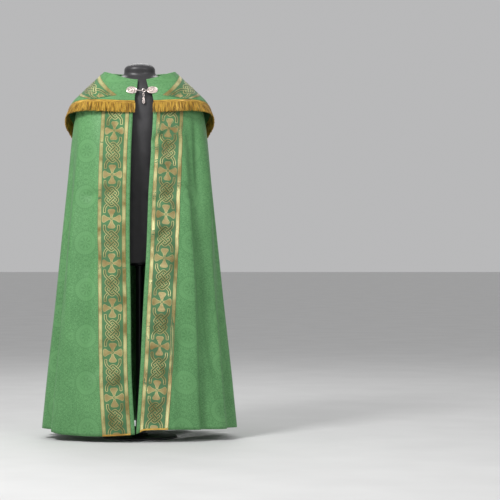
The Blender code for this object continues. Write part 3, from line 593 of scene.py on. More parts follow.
class Shader:
    """Builds a Principled material from nodes, with short calls."""

    def __init__(self, name: str, roughness: float, metallic: float = 0.0, specular: float = 0.5) -> None:
        """Start a material with its even values."""
        self.material = bpy.data.materials.new(name)
        self.material.use_nodes = True
        self.tree = self.material.node_tree
        self.shader = self.tree.nodes["Principled BSDF"]
        self.shader.inputs["Roughness"].default_value = roughness
        self.shader.inputs["Metallic"].default_value = metallic
        self.shader.inputs["Specular IOR Level"].default_value = specular
        self._cloth: Node | None = None
        self._object: Node | None = None

    def node(self, kind: str, **values: object) -> Node:
        """Add a node and set its properties and unlinked inputs by name."""
        made = self.tree.nodes.new(kind)
        for key, value in values.items():
            if hasattr(made, key):
                setattr(made, key, value)
            else:
                self.feed(made.inputs[key.replace("_", " ")], value)
        return made

    def feed(self, socket: Socket, value: object) -> None:
        """Link a socket or set its value."""
        if isinstance(value, Socket):
            self.tree.links.new(value, socket)
        else:
            socket.default_value = value

    def math(self, operation: str, a: object, b: object = 0.0, c: object = 0.0) -> Socket:
        """A Math node's result."""
        made = self.tree.nodes.new("ShaderNodeMath")
        made.operation = operation
        for socket, value in zip(made.inputs, (a, b, c)):
            self.feed(socket, value)
        return made.outputs[0]

    def cloth(self) -> Socket:
        """Flat cloth coordinates in metres."""
        if self._cloth is None:
            self._cloth = self.node("ShaderNodeUVMap", uv_map="cloth")
        return self._cloth.outputs["UV"]

    def place(self) -> Socket:
        """Object coordinates."""
        if self._object is None:
            self._object = self.node("ShaderNodeTexCoord")
        return self._object.outputs["Object"]

    def ramp(self, value: object, stops: Sequence[tuple[float, tuple[float, float, float]]]) -> Socket:
        """A colour ramp's colour."""
        made = self.tree.nodes.new("ShaderNodeValToRGB")
        self.feed(made.inputs[0], value)
        elements = made.color_ramp.elements
        while len(elements) < len(stops):
            elements.new(0.5)
        for element, (position, colour) in zip(elements, stops):
            element.position = position
            element.color = (*colour, 1)
        return made.outputs["Color"]

    def greys(self, value: object, stops: Sequence[tuple[float, float]]) -> Socket:
        """A ramp of greys, each given by its place and its value."""
        return self.ramp(value, [(place, (grey, grey, grey)) for place, grey in stops])

    def mix(self, share: object, first: object, second: object) -> Socket:
        """A colour mix."""
        made = self.tree.nodes.new("ShaderNodeMix")
        made.data_type = "RGBA"
        self.feed(made.inputs[0], share)
        self.feed(made.inputs[6], first if isinstance(first, Socket) else (*first, 1))
        self.feed(made.inputs[7], second if isinstance(second, Socket) else (*second, 1))
        return made.outputs[2]

    def noise(self, scale: float, detail: float = 2.0, vector: Socket | None = None) -> Node:
        """A noise texture on the piece's own coordinates."""
        made = self.tree.nodes.new("ShaderNodeTexNoise")
        made.inputs["Scale"].default_value = scale
        made.inputs["Detail"].default_value = detail
        self.feed(made.inputs["Vector"], vector or self.place())
        return made

    def finish(
        self,
        colour: object,
        height: object = None,
        depth: float = 0.0002,
        roughness: object = None,
        sheen: float = 0.0,
        sheen_tint: tuple[float, float, float] = (1.0, 1.0, 1.0),
    ) -> Material:
        """Link the colour, bump and roughness, and give the material."""
        self.feed(
            self.shader.inputs["Base Color"],
            colour if isinstance(colour, Socket) else (*colour, 1),
        )
        if height is not None:
            bump = self.tree.nodes.new("ShaderNodeBump")
            bump.inputs["Distance"].default_value = depth
            self.feed(bump.inputs["Height"], height)
            self.tree.links.new(bump.outputs["Normal"], self.shader.inputs["Normal"])
        if roughness is not None:
            self.feed(self.shader.inputs["Roughness"], roughness)
        self.shader.inputs["Sheen Weight"].default_value = sheen
        self.shader.inputs["Sheen Roughness"].default_value = 0.4
        self.shader.inputs["Sheen Tint"].default_value = (*sheen_tint, 1)
        return self.material


@dataclass(frozen=True)
class Damask:
    """The cope's satin damask: round flowers in half drop on a mirrored leaf ground, tone on tone."""

    name: str = "green damask"
    repeat: float = 0.190
    matt: tuple[float, float, float] = (0.038, 0.145, 0.042)
    satin: tuple[float, float, float] = (0.160, 0.385, 0.152)
    plain: bool = False
    flower: float = 0.056
    eye: float = 0.024
    weft_pitch: float = 0.0011
    warp_pitch: float = 0.0009

    def build(self) -> Material:
        """Build the damask's material.

        Returns:
            The material.
        """
        shader = Shader(self.name, 0.5, specular=0.35)
        calc = shader.math
        split = shader.node("ShaderNodeSeparateXYZ", Vector=shader.cloth())
        u, v = split.outputs[0], split.outputs[1]
        if self.plain:
            pattern: object = 0.5
        else:
            pattern = self._pattern(shader, u, v)
        soft = shader.noise(9.0, 3.0).outputs["Fac"]
        tone = calc("MULTIPLY_ADD", calc("SUBTRACT", soft, 0.5), 0.5, pattern)
        colour = shader.ramp(tone, [(0.0, self.matt), (1.0, self.satin)])
        weft = calc("SINE", calc("MULTIPLY", v, 2 * math.pi / self.weft_pitch))
        warp = calc("SINE", calc("MULTIPLY", u, 2 * math.pi / self.warp_pitch))
        weave = calc("MULTIPLY_ADD", warp, 0.4, weft)
        height = calc("MULTIPLY_ADD", pattern, 1.5, calc("MULTIPLY", weave, 0.35))
        rough = calc("MULTIPLY_ADD", pattern, -0.16, 0.58)
        return shader.finish(colour, height, 0.00012, rough, 0.06, (0.75, 1.0, 0.8))

    def _pattern(self, shader: Shader, u: object, v: object) -> Socket:
        """The share of satin, 0 to 1, at a place of the cloth.

        Args:
            shader: the material's builder.
            u: across the cloth in metres.
            v: down the cloth in metres.

        Returns:
            The share's socket.
        """
        calc = shader.math
        column = calc("ADD", calc("DIVIDE", u, self.repeat), 0.5)
        odd = calc("MULTIPLY", calc("FLOORED_MODULO", calc("FLOOR", column), 2.0), 0.5)
        row = calc("ADD", calc("DIVIDE", v, self.repeat), odd)
        x = calc("SUBTRACT", calc("FRACT", column), 0.5)
        y = calc("SUBTRACT", calc("FRACT", row), 0.5)
        away = calc("SQRT", calc("ADD", calc("MULTIPLY", x, x), calc("MULTIPLY", y, y)))
        radius = calc("MULTIPLY", away, self.repeat)
        turn = calc("ARCTAN2", y, x)
        petals = calc("ABSOLUTE", calc("COSINE", calc("MULTIPLY", turn, 4.0)))
        beads = calc("ABSOLUTE", calc("COSINE", calc("MULTIPLY", turn, 18.0)))
        rings = shader.greys(
            calc("DIVIDE", radius, self.flower),
            [
                (0.00, 0.58), (0.12, 0.74), (0.22, 0.60), (0.44, 0.72), (0.52, 0.52),
                (0.60, 0.70), (0.84, 0.70), (0.90, 0.34), (0.95, 0.70), (1.00, 0.42),
            ],
        )
        inner = calc("LESS_THAN", radius, self.eye)
        petal_share = calc("MULTIPLY", rings, calc("MULTIPLY_ADD", petals, 0.5, 0.5))
        bead_share = calc("MULTIPLY", rings, calc("MULTIPLY_ADD", beads, 0.3, 0.75))
        flower = shader.mix(inner, bead_share, petal_share)
        mirrored = shader.node(
            "ShaderNodeCombineXYZ", X=calc("ABSOLUTE", x), Y=calc("ABSOLUTE", y), Z=0.0
        )
        leaves = shader.noise(26.0, 1.0, mirrored.outputs[0])
        leaves.inputs["Distortion"].default_value = 2.2
        curls = shader.noise(9.0, 1.0, mirrored.outputs[0])
        curls.inputs["Distortion"].default_value = 2.8
        leaf = shader.greys(leaves.outputs["Fac"], [(0.42, 0.26), (0.58, 0.68)])
        curl = shader.greys(curls.outputs["Fac"], [(0.44, 0), (0.48, 1), (0.52, 1), (0.56, 0)])
        ground = shader.mix(calc("MULTIPLY", curl, 0.55), leaf, (0.9, 0.9, 0.9))
        inside = calc("LESS_THAN", radius, self.flower)
        return shader.mix(inside, ground, flower)


@dataclass(frozen=True)
class Thread:
    """A finish of silk or metal thread, ribbed across its run, with painted sheen and shade along it."""

    name: str
    colour: tuple[float, float, float]
    # the dark end of its colour ramp: painted shade, reached in the rib grooves and where the painted sheen
    # dips, and a little by the random grain
    shade_colour: tuple[float, float, float]
    metallic: float
    roughness: float
    pitch: float

    def build(self) -> Material:
        """Build the thread's material.

        Returns:
            The material.
        """
        shader = Shader(self.name, self.roughness, self.metallic)
        calc = shader.math
        split = shader.node("ShaderNodeSeparateXYZ", Vector=shader.cloth())
        along = calc("MULTIPLY", split.outputs[0], 2 * math.pi / self.pitch)
        ribs = calc("SINE", calc("MULTIPLY_ADD", split.outputs[1], 2 * math.pi / self.pitch, along))
        grain = shader.noise(700.0, 2.0).outputs["Fac"]
        # painted sheen and shade: a broad noise brightens and darkens the thread as light would on a
        # glossy, slightly wrinkled band; the ribs also darken their own grooves a little (painted shade),
        # while the fine grain is the thread's own uneven tone
        painted_sheen_and_shade = shader.noise(16.0, 3.0).outputs["Fac"]
        share = calc("MULTIPLY_ADD", ribs, 0.10, calc("MULTIPLY_ADD", grain, 0.2, -0.72))
        share = calc("MULTIPLY_ADD", painted_sheen_and_shade, 2.2, share)
        colour = shader.ramp(share, [(0.15, self.shade_colour), (0.75, self.colour)])
        height = calc("MULTIPLY_ADD", grain, 0.5, ribs)
        rough = calc("MULTIPLY_ADD", grain, 0.2, self.roughness - 0.1)
        return shader.finish(colour, height, 0.00015, rough, 0.1)


@dataclass(frozen=True)
class Bullion:
    """Twisted gilt thread that hangs in locks, with painted shade between its threads and locks and painted
    light on their fronts, so each lock looks a little lighter or darker than the next.
    """

    name: str = "bullion fringe"
    colour: tuple[float, float, float] = (0.80, 0.50, 0.075)
    # the near-black end of its ramp: painted shade for the gaps between threads and locks
    shade_colour: tuple[float, float, float] = (0.20, 0.095, 0.010)

    def build(self) -> Material:
        """Build the thread's material.

        Returns:
            The material.
        """
        shader = Shader(self.name, 0.38, 0.2)
        calc = shader.math
        split = shader.node("ShaderNodeSeparateXYZ", Vector=shader.cloth())
        down, along = split.outputs[0], split.outputs[1]
        # painted shade and light: noise lock by lock and thread by thread swings the colour between bright
        # gold and the near-black shade colour, standing in for the shade in the gaps and the light on the
        # threads
        lock = shader.node(
            "ShaderNodeCombineXYZ",
            X=calc("DIVIDE", along, 0.0065),
            Y=calc("DIVIDE", down, 0.060),
            Z=0.0,
        )
        locks = shader.noise(1.0, 1.0, lock.outputs[0]).outputs["Fac"]
        thread = shader.node(
            "ShaderNodeCombineXYZ",
            X=calc("DIVIDE", along, 0.0016),
            Y=calc("DIVIDE", down, 0.030),
            Z=3.0,
        )
        threads = shader.noise(1.0, 0.0, thread.outputs[0]).outputs["Fac"]
        twist = calc("SINE", calc("MULTIPLY_ADD", down, 4200.0, calc("MULTIPLY", along, 1800.0)))
        share = calc("MULTIPLY_ADD", threads, 0.9, calc("MULTIPLY_ADD", locks, 0.9, -0.45))
        # the twist paints a faint highlight and shade along each thread, besides its bump
        share = calc("MULTIPLY_ADD", twist, 0.06, share)
        colour = shader.ramp(share, [(0.22, self.shade_colour), (0.42, (0.50, 0.28, 0.035)), (0.68, self.colour)])
        return shader.finish(colour, twist, 0.00025, 0.36, 0.0)


@dataclass(frozen=True)
class Metal:
    """Cast metal, worn bright on its high places."""

    name: str
    bright: tuple[float, float, float]
    dull: tuple[float, float, float]
    roughness: float

    def build(self) -> Material:
        """Build the metal's material.

        Returns:
            The material.
        """
        shader = Shader(self.name, self.roughness, 1.0)
        calc = shader.math
        geometry = shader.node("ShaderNodeNewGeometry")
        worn = shader.greys(geometry.outputs["Pointiness"], [(0.46, 0), (0.54, 1)])
        spots = shader.noise(260.0, 4.0).outputs["Fac"]
        share = calc("MULTIPLY", worn, calc("MULTIPLY_ADD", spots, 0.6, 0.6))
        colour = shader.mix(share, self.dull, self.bright)
        rough = calc("MULTIPLY_ADD", spots, 0.25, self.roughness - 0.12)
        return shader.finish(colour, shader.noise(900.0, 3.0).outputs["Fac"], 0.00006, rough)


@dataclass(frozen=True)
class Paint:
    """Smooth paint or moulded skin with faint dust and handling marks."""

    name: str
    colour: tuple[float, float, float]
    roughness: float
    grain: float

    def build(self) -> Material:
        """Build the paint's material.

        Returns:
            The material.
        """
        shader = Shader(self.name, self.roughness)
        calc = shader.math
        marks = shader.noise(24.0, 5.0).outputs["Fac"]
        dust = shader.noise(380.0, 3.0).outputs["Fac"]
        pale = tuple(channel * 1.6 + 0.004 for channel in self.colour)
        colour = shader.ramp(calc("MULTIPLY_ADD", dust, 0.3, marks), [(0.4, self.colour), (1.0, pale)])
        rough = calc("MULTIPLY_ADD", marks, 0.18, self.roughness - 0.07)
        return shader.finish(colour, shader.noise(self.grain, 2.0).outputs["Fac"], 0.00004, rough)


def built(finish: Damask | Thread | Bullion | Metal | Paint) -> Material:
    """A field for a finish, made when its palette is."""
    return field(default_factory=finish.build)


@dataclass
class Palette:
    """Every finish, built once."""

    damask: Material = built(Damask())
    satin: Material = built(
        Damask("green satin", matt=(0.075, 0.235, 0.080), satin=(0.105, 0.300, 0.110), plain=True)
    )
    # each Thread below gives its own colour and then the colour of its painted shade
    galloon: Material = built(
        Thread("galloon ground", (0.080, 0.225, 0.085), (0.050, 0.150, 0.055), 0.0, 0.60, 0.0012)
    )
    pale_gold: Material = built(
        Thread("pale gold silk", (0.58, 0.56, 0.25), (0.23, 0.17, 0.040), 0.25, 0.34, 0.0010)
    )
    tan_gold: Material = built(
        Thread("tan gold silk", (0.44, 0.36, 0.15), (0.27, 0.19, 0.060), 0.20, 0.42, 0.0010)
    )
    core: Material = built(
        Thread("knot ground", (0.074, 0.160, 0.050), (0.046, 0.110, 0.034), 0.0, 0.60, 0.0012)
    )
    dark: Material = built(
        Thread("dark outline thread", (0.105, 0.150, 0.045), (0.060, 0.095, 0.030), 0.0, 0.6, 0.0010)
    )
    fringe: Material = built(Bullion())
    gilt_braid: Material = built(
        Thread("gilt braid", (0.72, 0.45, 0.080), (0.38, 0.20, 0.030), 0.25, 0.38, 0.0013)
    )
    silver_braid: Material = built(
        Thread("silver braid", (0.66, 0.66, 0.64), (0.36, 0.36, 0.34), 0.55, 0.36, 0.0012)
    )
    cast_silver: Material = built(Metal("rose silver", (0.80, 0.70, 0.66), (0.26, 0.20, 0.18), 0.32))
    form: Material = built(Paint("gloss black form", (0.027, 0.026, 0.028), 0.38, 90.0))
    stand: Material = built(Paint("black stand paint", (0.010, 0.010, 0.011), 0.34, 600.0))


class FlatWork:
    """Raised work drawn flat, before it is laid: x across the band, y along it and z its height."""

    def __init__(self) -> None:
        """Start with nothing drawn."""
        self.points: list[Array] = []
        self.coords: list[Array] = []
        self.faces: list[tuple[int, ...]] = []
        self.count = 0

    def ribbon(
        self,
        path: Array,
        width: object,
        height: float,
        closed: bool = False,
        lift: object = 0.0,
        across: int = 3,
    ) -> None:
        """Draw a ribbon with a crowned top along a path.

        Args:
            path: (x, y) points.
            width: the ribbon's width, one value or one for each point.
            height: the height of its crown.
            closed: whether the path runs round.
            lift: how far it is raised at each point.
            across: how many points cross its top.
        """
        path = np.asarray(path, float)
        if closed:
            ahead = np.roll(path, -1, 0) - np.roll(path, 1, 0)
        else:
            ahead = np.gradient(path, axis=0)
        ahead /= np.maximum(1e-9, np.linalg.norm(ahead, axis=1, keepdims=True))
        side = np.stack([ahead[:, 1], -ahead[:, 0]], -1)
        half = np.broadcast_to(np.asarray(width, float) / 2, len(path))
        raised = np.broadcast_to(np.asarray(lift, float), len(path))
        stops = np.linspace(-1, 1, across)
        crown = height * (0.55 + 0.45 * (1 - stops * stops))
        run = run_of(path)
        rings, coords = [], []
        for stop, top in [(-1.0, 0.0)] + list(zip(stops, crown)) + [(1.0, 0.0)]:
            spot = path + side * (half * stop)[:, None]
            rings.append(np.column_stack([spot, raised + top]))
            coords.append(np.column_stack([run, half * stop]))
        size = len(rings)
        self.points.append(np.stack(rings, 1).reshape(-1, 3))
        self.coords.append(np.stack(coords, 1).reshape(-1, 2))
        total = len(path)
        self.faces += tube_faces(self.count, total, size, closed)
        self.count += total * size


@dataclass
class Strip:
    """A band lying on the cloth: a grid of places on it, and how far along it each row lies."""

    grid: Grid
    along: Array
    across: Array
    end: Array | None = None

    def spot(self, x: Array, y: Array) -> tuple[Array, Array]:
        """Points and normals at flat places of the band.

        Args:
            x: across the band.
            y: along it.

        Returns:
            The points and the normals.
        """
        if self.end is not None:
            y = np.minimum(y, np.interp(x, self.across, self.end))
        row = np.interp(y, self.along, np.arange(len(self.along)))
        column = np.interp(x, self.across, np.arange(len(self.across)))
        i = np.minimum(row.astype(int), len(self.along) - 2)
        j = np.minimum(column.astype(int), len(self.across) - 2)
        a, b = (row - i)[:, None], (column - j)[:, None]
        found = []
        for values in (self.grid.points, self.grid.normals):
            upper = values[i, j] * (1 - b) + values[i, j + 1] * b
            lower = values[i + 1, j] * (1 - b) + values[i + 1, j + 1] * b
            found.append(upper * (1 - a) + lower * a)
        return found[0], unit(found[1])

    def lean(self, y: float) -> float:
        """How far the band's rows run down for each metre across, near a place along it."""
        middle, row = len(self.across) // 2, int(np.interp(y, self.along, np.arange(len(self.along))))
        row = min(max(row, 2), len(self.along) - 3)
        points = self.grid.points
        across = points[row, middle + 4] - points[row, middle - 4]
        down = points[row + 2, middle] - points[row - 2, middle]
        return float(across @ down / (np.linalg.norm(across) * np.linalg.norm(down)))

    def inside(self, path: Array) -> Array:
        """Which points of a flat path lie on the band."""
        kept = (path[:, 1] >= self.along[0]) & (path[:, 1] <= self.along[-1])
        if self.end is not None:
            kept &= path[:, 1] <= np.interp(path[:, 0], self.across, self.end)
        return kept

    def wrap(self, name: str, work: FlatWork, lift: float, material: Material) -> Thing:
        """Lay flat work on the band.

        Args:
            name: the piece's name.
            work: the flat work.
            lift: the height of the band's face over the grid.
            material: the thread's material.

        Returns:
            The object.
        """
        flat = np.concatenate(work.points)
        points, normals = self.spot(flat[:, 0], flat[:, 1])
        points = points + normals * (flat[:, 2] + lift)[:, None]
        return mesh_object(name, points, work.faces, np.concatenate(work.coords), material)


def mesh_object(
    name: str, points: Array, faces: Sequence[tuple[int, ...]], coords: Array, material: Material
) -> Thing:
    """A mesh object with cloth coordinates at its points and its faces turned out.

    Args:
        name: the piece's name.
        points: its points.
        faces: its faces.
        coords: the cloth coordinates of its points.
        material: its material.

    Returns:
        The object.
    """
    mesh = bpy.data.meshes.new(name)
    mesh.from_pydata(points.tolist(), [], faces)
    corners = np.zeros(len(mesh.loops), np.int32)
    mesh.loops.foreach_get("vertex_index", corners)
    layer = mesh.uv_layers.new(name="cloth")
    layer.data.foreach_set("uv", coords[corners].astype(np.float32).reshape(-1))
    shape = bmesh.new()
    shape.from_mesh(mesh)
    bmesh.ops.recalc_face_normals(shape, faces=shape.faces)
    shape.to_mesh(mesh)
    shape.free()
    mesh.materials.append(material)
    mesh.shade_smooth()
    mesh.set_sharp_from_angle(angle=math.radians(50))
    obj = bpy.data.objects.new(name, mesh)
    bpy.context.scene.collection.objects.link(obj)
    return obj


def rounded(path: Sequence[Sequence[float]], rounds: int = 3) -> Array:
    """A polyline with its corners cut round, any number of values a point."""
    points = np.asarray(path, float)
    for _ in range(rounds):
        near = points[:-1] * 0.75 + points[1:] * 0.25
        far = points[:-1] * 0.25 + points[1:] * 0.75
        middle = np.stack([near, far], 1).reshape(-1, points.shape[1])
        points = np.concatenate([points[:1], middle[1:-1], points[-1:]])
    return points


def resampled(path: Array, pitch: float) -> Array:
    """A polyline's points at an even pitch, by its first two values."""
    run = run_of(path[:, :2])
    count = max(2, int(round(run[-1] / pitch)) + 1)
    stops = np.linspace(0, run[-1], count)
    return np.column_stack([np.interp(stops, run, column) for column in path.T])


@dataclass
class Galloon:
    """The woven band's pattern: gold side stripes, and spreading crosses and interlaced knots by turns."""

    stripe: float = 0.0145
    repeat: float = 0.1800
    reach: float = 0.0385
    petal_width: float = 0.0310
    line: float = 0.0029
    strand_gap: float = 0.0084
    over: float = 0.00045
    lean: float = 0.0
    knot: tuple[tuple[float, float, float], ...] = (
        (-0.0290, 0.0640, 0.5),
        (-0.0290, 0.0430, 0.6),
        (-0.0135, 0.0275, 1.0),
        (0.0, 0.0140, 0.0),
        (0.0140, 0.0, 1.0),
        (0.0275, -0.0135, 0.5),
        (0.0135, -0.0275, 0.0),
        (0.0, -0.0410, 0.5),
        (-0.0135, -0.0275, 1.0),
        (-0.0275, -0.0135, 0.5),
        (-0.0140, 0.0, 0.0),
        (0.0, 0.0140, 1.0),
        (0.0135, 0.0275, 0.0),
        (0.0290, 0.0430, 0.4),
        (0.0290, 0.0640, 0.5),
    )

    def draw(self, strip: Strip, width: float, crosses: Sequence[float]) -> dict[str, FlatWork]:
        """Draw the pattern on a band.

        Args:
            strip: the band.
            width: its width.
            crosses: how far along it the crosses' centres lie.

        Returns:
            The flat work of each thread.
        """
        works = {key: FlatWork() for key in ("pale", "tan", "core")}
        start, end = strip.along[0], strip.along[-1]
        edge = width / 2 - 0.0006
        for way in (-1, 1):
            for offset, wide, key, height in (
                (edge - self.stripe / 2, self.stripe, "pale", 0.00022),
                (edge - 0.0012, 0.0022, "tan", 0.00032),
                (edge - self.stripe + 0.0010, 0.0018, "tan", 0.00032),
            ):
                path = np.array([(way * offset, start), (way * offset, end)])
                self._lay(works[key], strip, resampled(path, 0.008), wide, height)
        for centre in crosses:
            self.lean = strip.lean(centre)
            self._cross(works, strip, centre)
        first = crosses[0] - self.repeat / 2
        for number in range(len(crosses) + 1):
            self.lean = strip.lean(first + number * self.repeat)
            self._knot(works, strip, first + number * self.repeat)
        self.lean = 0.0
        return {key: work for key, work in works.items() if work.count}

    def _lay(
        self, work: FlatWork, strip: Strip, path: Array, width: object, height: float, across: int = 3
    ) -> None:
        """Draw the stretches of a ribbon that lie on the band; a third value of its points is its lift."""
        path = path.copy()
        path[:, 1] -= path[:, 0] * self.lean
        kept = strip.inside(path)
        wide = np.broadcast_to(np.asarray(width, float), len(path))
        first = 0
        while first < len(path):
            if not kept[first]:
                first += 1
                continue
            last = first
            while last < len(path) and kept[last]:
                last += 1
            if last - first > 1:
                part = path[first:last]
                lift = part[:, 2] if path.shape[1] > 2 else 0.0
                work.ribbon(part[:, :2], wide[first:last], height, lift=lift, across=across)
            first = last

    def _cross(self, works: dict[str, FlatWork], strip: Strip, centre: float) -> None:
        """Draw a cross of four spreading petals round a ring."""
        shares = np.array([0.16, 0.3, 0.45, 0.6, 0.72, 0.82, 0.9, 0.96, 1.0])
        petal = np.interp(shares, [0.1, 0.45, 0.8, 0.9, 1.0], [0.14, 0.40, 1.0, 0.94, 0.62])
        widths = petal * self.petal_width
        for quarter in range(4):
            ahead = np.array([math.sin(quarter * math.pi / 2), math.cos(quarter * math.pi / 2)])
            side = np.array([ahead[1], -ahead[0]])
            axis = np.array([0.0, centre]) + np.outer(shares * self.reach, ahead)
            self._lay(works["tan"], strip, axis, widths - 0.002, 0.00022, 7)
            left = axis - side * (widths / 2)[:, None]
            right = (axis + side * (widths / 2)[:, None])[::-1]
            outline = resampled(rounded(np.concatenate([left, right]), 1), 0.004)
            self._lay(works["pale"], strip, outline, 0.0021, 0.00038)
        turns = np.linspace(0, 2 * math.pi, 19)
        ring = np.column_stack([0.0058 * np.sin(turns), centre + 0.0058 * np.cos(turns)])
        self._lay(works["pale"], strip, ring, 0.0022, 0.0005)
        dot = np.array([(0.0, centre - 0.0022), (0.0, centre), (0.0, centre + 0.0022)])
        self._lay(works["pale"], strip, dot, np.array([0.002, 0.0044, 0.002]), 0.00045)
        disc = np.array([(0.0, centre + step) for step in (-0.006, -0.003, 0.003, 0.006)])
        self._lay(works["core"], strip, disc, np.array([0.002, 0.010, 0.010, 0.002]), 0.0003)

    def _knot(self, works: dict[str, FlatWork], strip: Strip, centre: float) -> None:
        """Draw a knot of two strands, each of two gold lines with a dark core, over and under by turns."""
        path = np.array(self.knot)
        for flip in (1, -1):
            strand = path.copy()
            strand[:, 1] = centre + flip * strand[:, 1]
            strand[:, 2] = (strand[:, 2] if flip == 1 else 1 - strand[:, 2]) * self.over
            strand = resampled(rounded(strand, 1), 0.0034)
            ahead = np.gradient(strand[:, :2], axis=0)
            ahead = unit(ahead)
            side = np.stack([ahead[:, 1], -ahead[:, 0]], -1)
            self._lay(works["core"], strip, strand, self.strand_gap, 0.00024)
            edges = []
            for way in (-1, 1):
                edge = strand.copy()
                edge[:, :2] += way * side * self.strand_gap / 2
                edges.append(edge)
            outline = np.concatenate([edges[0], edges[1][::-1], edges[0][:1]])
            self._lay(works["pale"], strip, outline, self.line, 0.00036)


def stitches(name: str, points: Array, normals: Array, lift: float, material: Material) -> Thing:
    """A row of sewn stitches along a line on the cloth, each a small grain of thread.

    Args:
        name: the row's name.
        points: the line's points.
        normals: the cloth's normals at them.
        lift: the height of the cloth's face over the points.
        material: the thread.

    Returns:
        The object.
    """
    pitch, long, wide, high = 0.0042, 0.0030, 0.0007, 0.00035
    run = run_of(points)
    stops = np.arange(pitch, run[-1] - pitch, pitch)
    centre = np.column_stack([np.interp(stops, run, column) for column in points.T])
    normal = np.column_stack([np.interp(stops, run, column) for column in normals.T])
    normal = unit(normal)
    ahead = np.gradient(centre, axis=0)
    ahead = unit(ahead)
    side = np.cross(normal, ahead)
    centre = centre + normal * lift
    grains = [
        centre - ahead * long / 2,
        centre + ahead * long / 2,
        centre + side * wide / 2,
        centre - side * wide / 2,
        centre + normal * high,
        centre - normal * 0.0002,
    ]
    corners = [(0, 4, 2), (0, 2, 5), (0, 5, 3), (0, 3, 4), (1, 2, 4), (1, 5, 2), (1, 3, 5), (1, 4, 3)]
    faces = [(6 * i + a, 6 * i + b, 6 * i + c) for i in range(len(stops)) for a, b, c in corners]
    made = np.stack(grains, 1).reshape(-1, 3)
    return mesh_object(name, made, faces, np.repeat(stops, 6)[:, None] * [1.0, 0.0], material)


class Cloths:
    """What the sub-assemblies share: the palette, the drape, and the building of bands and seams."""

    def __init__(self, palette: Palette) -> None:
        """Keep the palette."""
        self.palette = palette
        self.drape = DRAPE

    def declare(
        self, piece: Thing, grid: Grid, rests_on: Sequence[object], with_pieces: Sequence[object] = ()
    ) -> None:
        """Take a sheet, its grid, what it lies on and what is sewn on it, and do nothing with them.

        Args:
            piece: the sheet; not used.
            grid: its grid; not used.
            rests_on: what it lies on; not used.
            with_pieces: what is sewn on it; not used.
        """

    def band(
        self, name: str, strip: Strip, ground: Grid, crosses: Sequence[float], low: float, thick: float
    ) -> tuple[Thing, list[Thing]]:
        """Build a band's ground and its woven pattern.

        Args:
            name: the solid that it stands for.
            strip: the band.
            ground: the grid of its ground.
            crosses: how far along it its crosses lie.
            low: the lift of its under face.
            thick: its thickness.

        Returns:
            The ground and the threads on it.
        """
        palette = self.palette
        base = sheet_object(f"{name}_ground", ground.raised(low), thick, palette.galloon)
        dress(base, [name])
        finishes = {"pale": palette.pale_gold, "tan": palette.tan_gold, "core": palette.core}
        width = strip.across[-1] - strip.across[0]
        sewn = []
        for key, work in Galloon().draw(strip, width, crosses).items():
            piece = strip.wrap(f"{name}_{key}", work, low + thick - THREAD_SUNK, finishes[key])
            sewn.append(dress(piece))
        return base, sewn

    def seam(self, name: str, points: Array, normals: Array, lift: float) -> Thing:
        """Sew a row of stitches along a band's side."""
        return dress(stitches(name, points, normals, lift, self.palette.pale_gold))


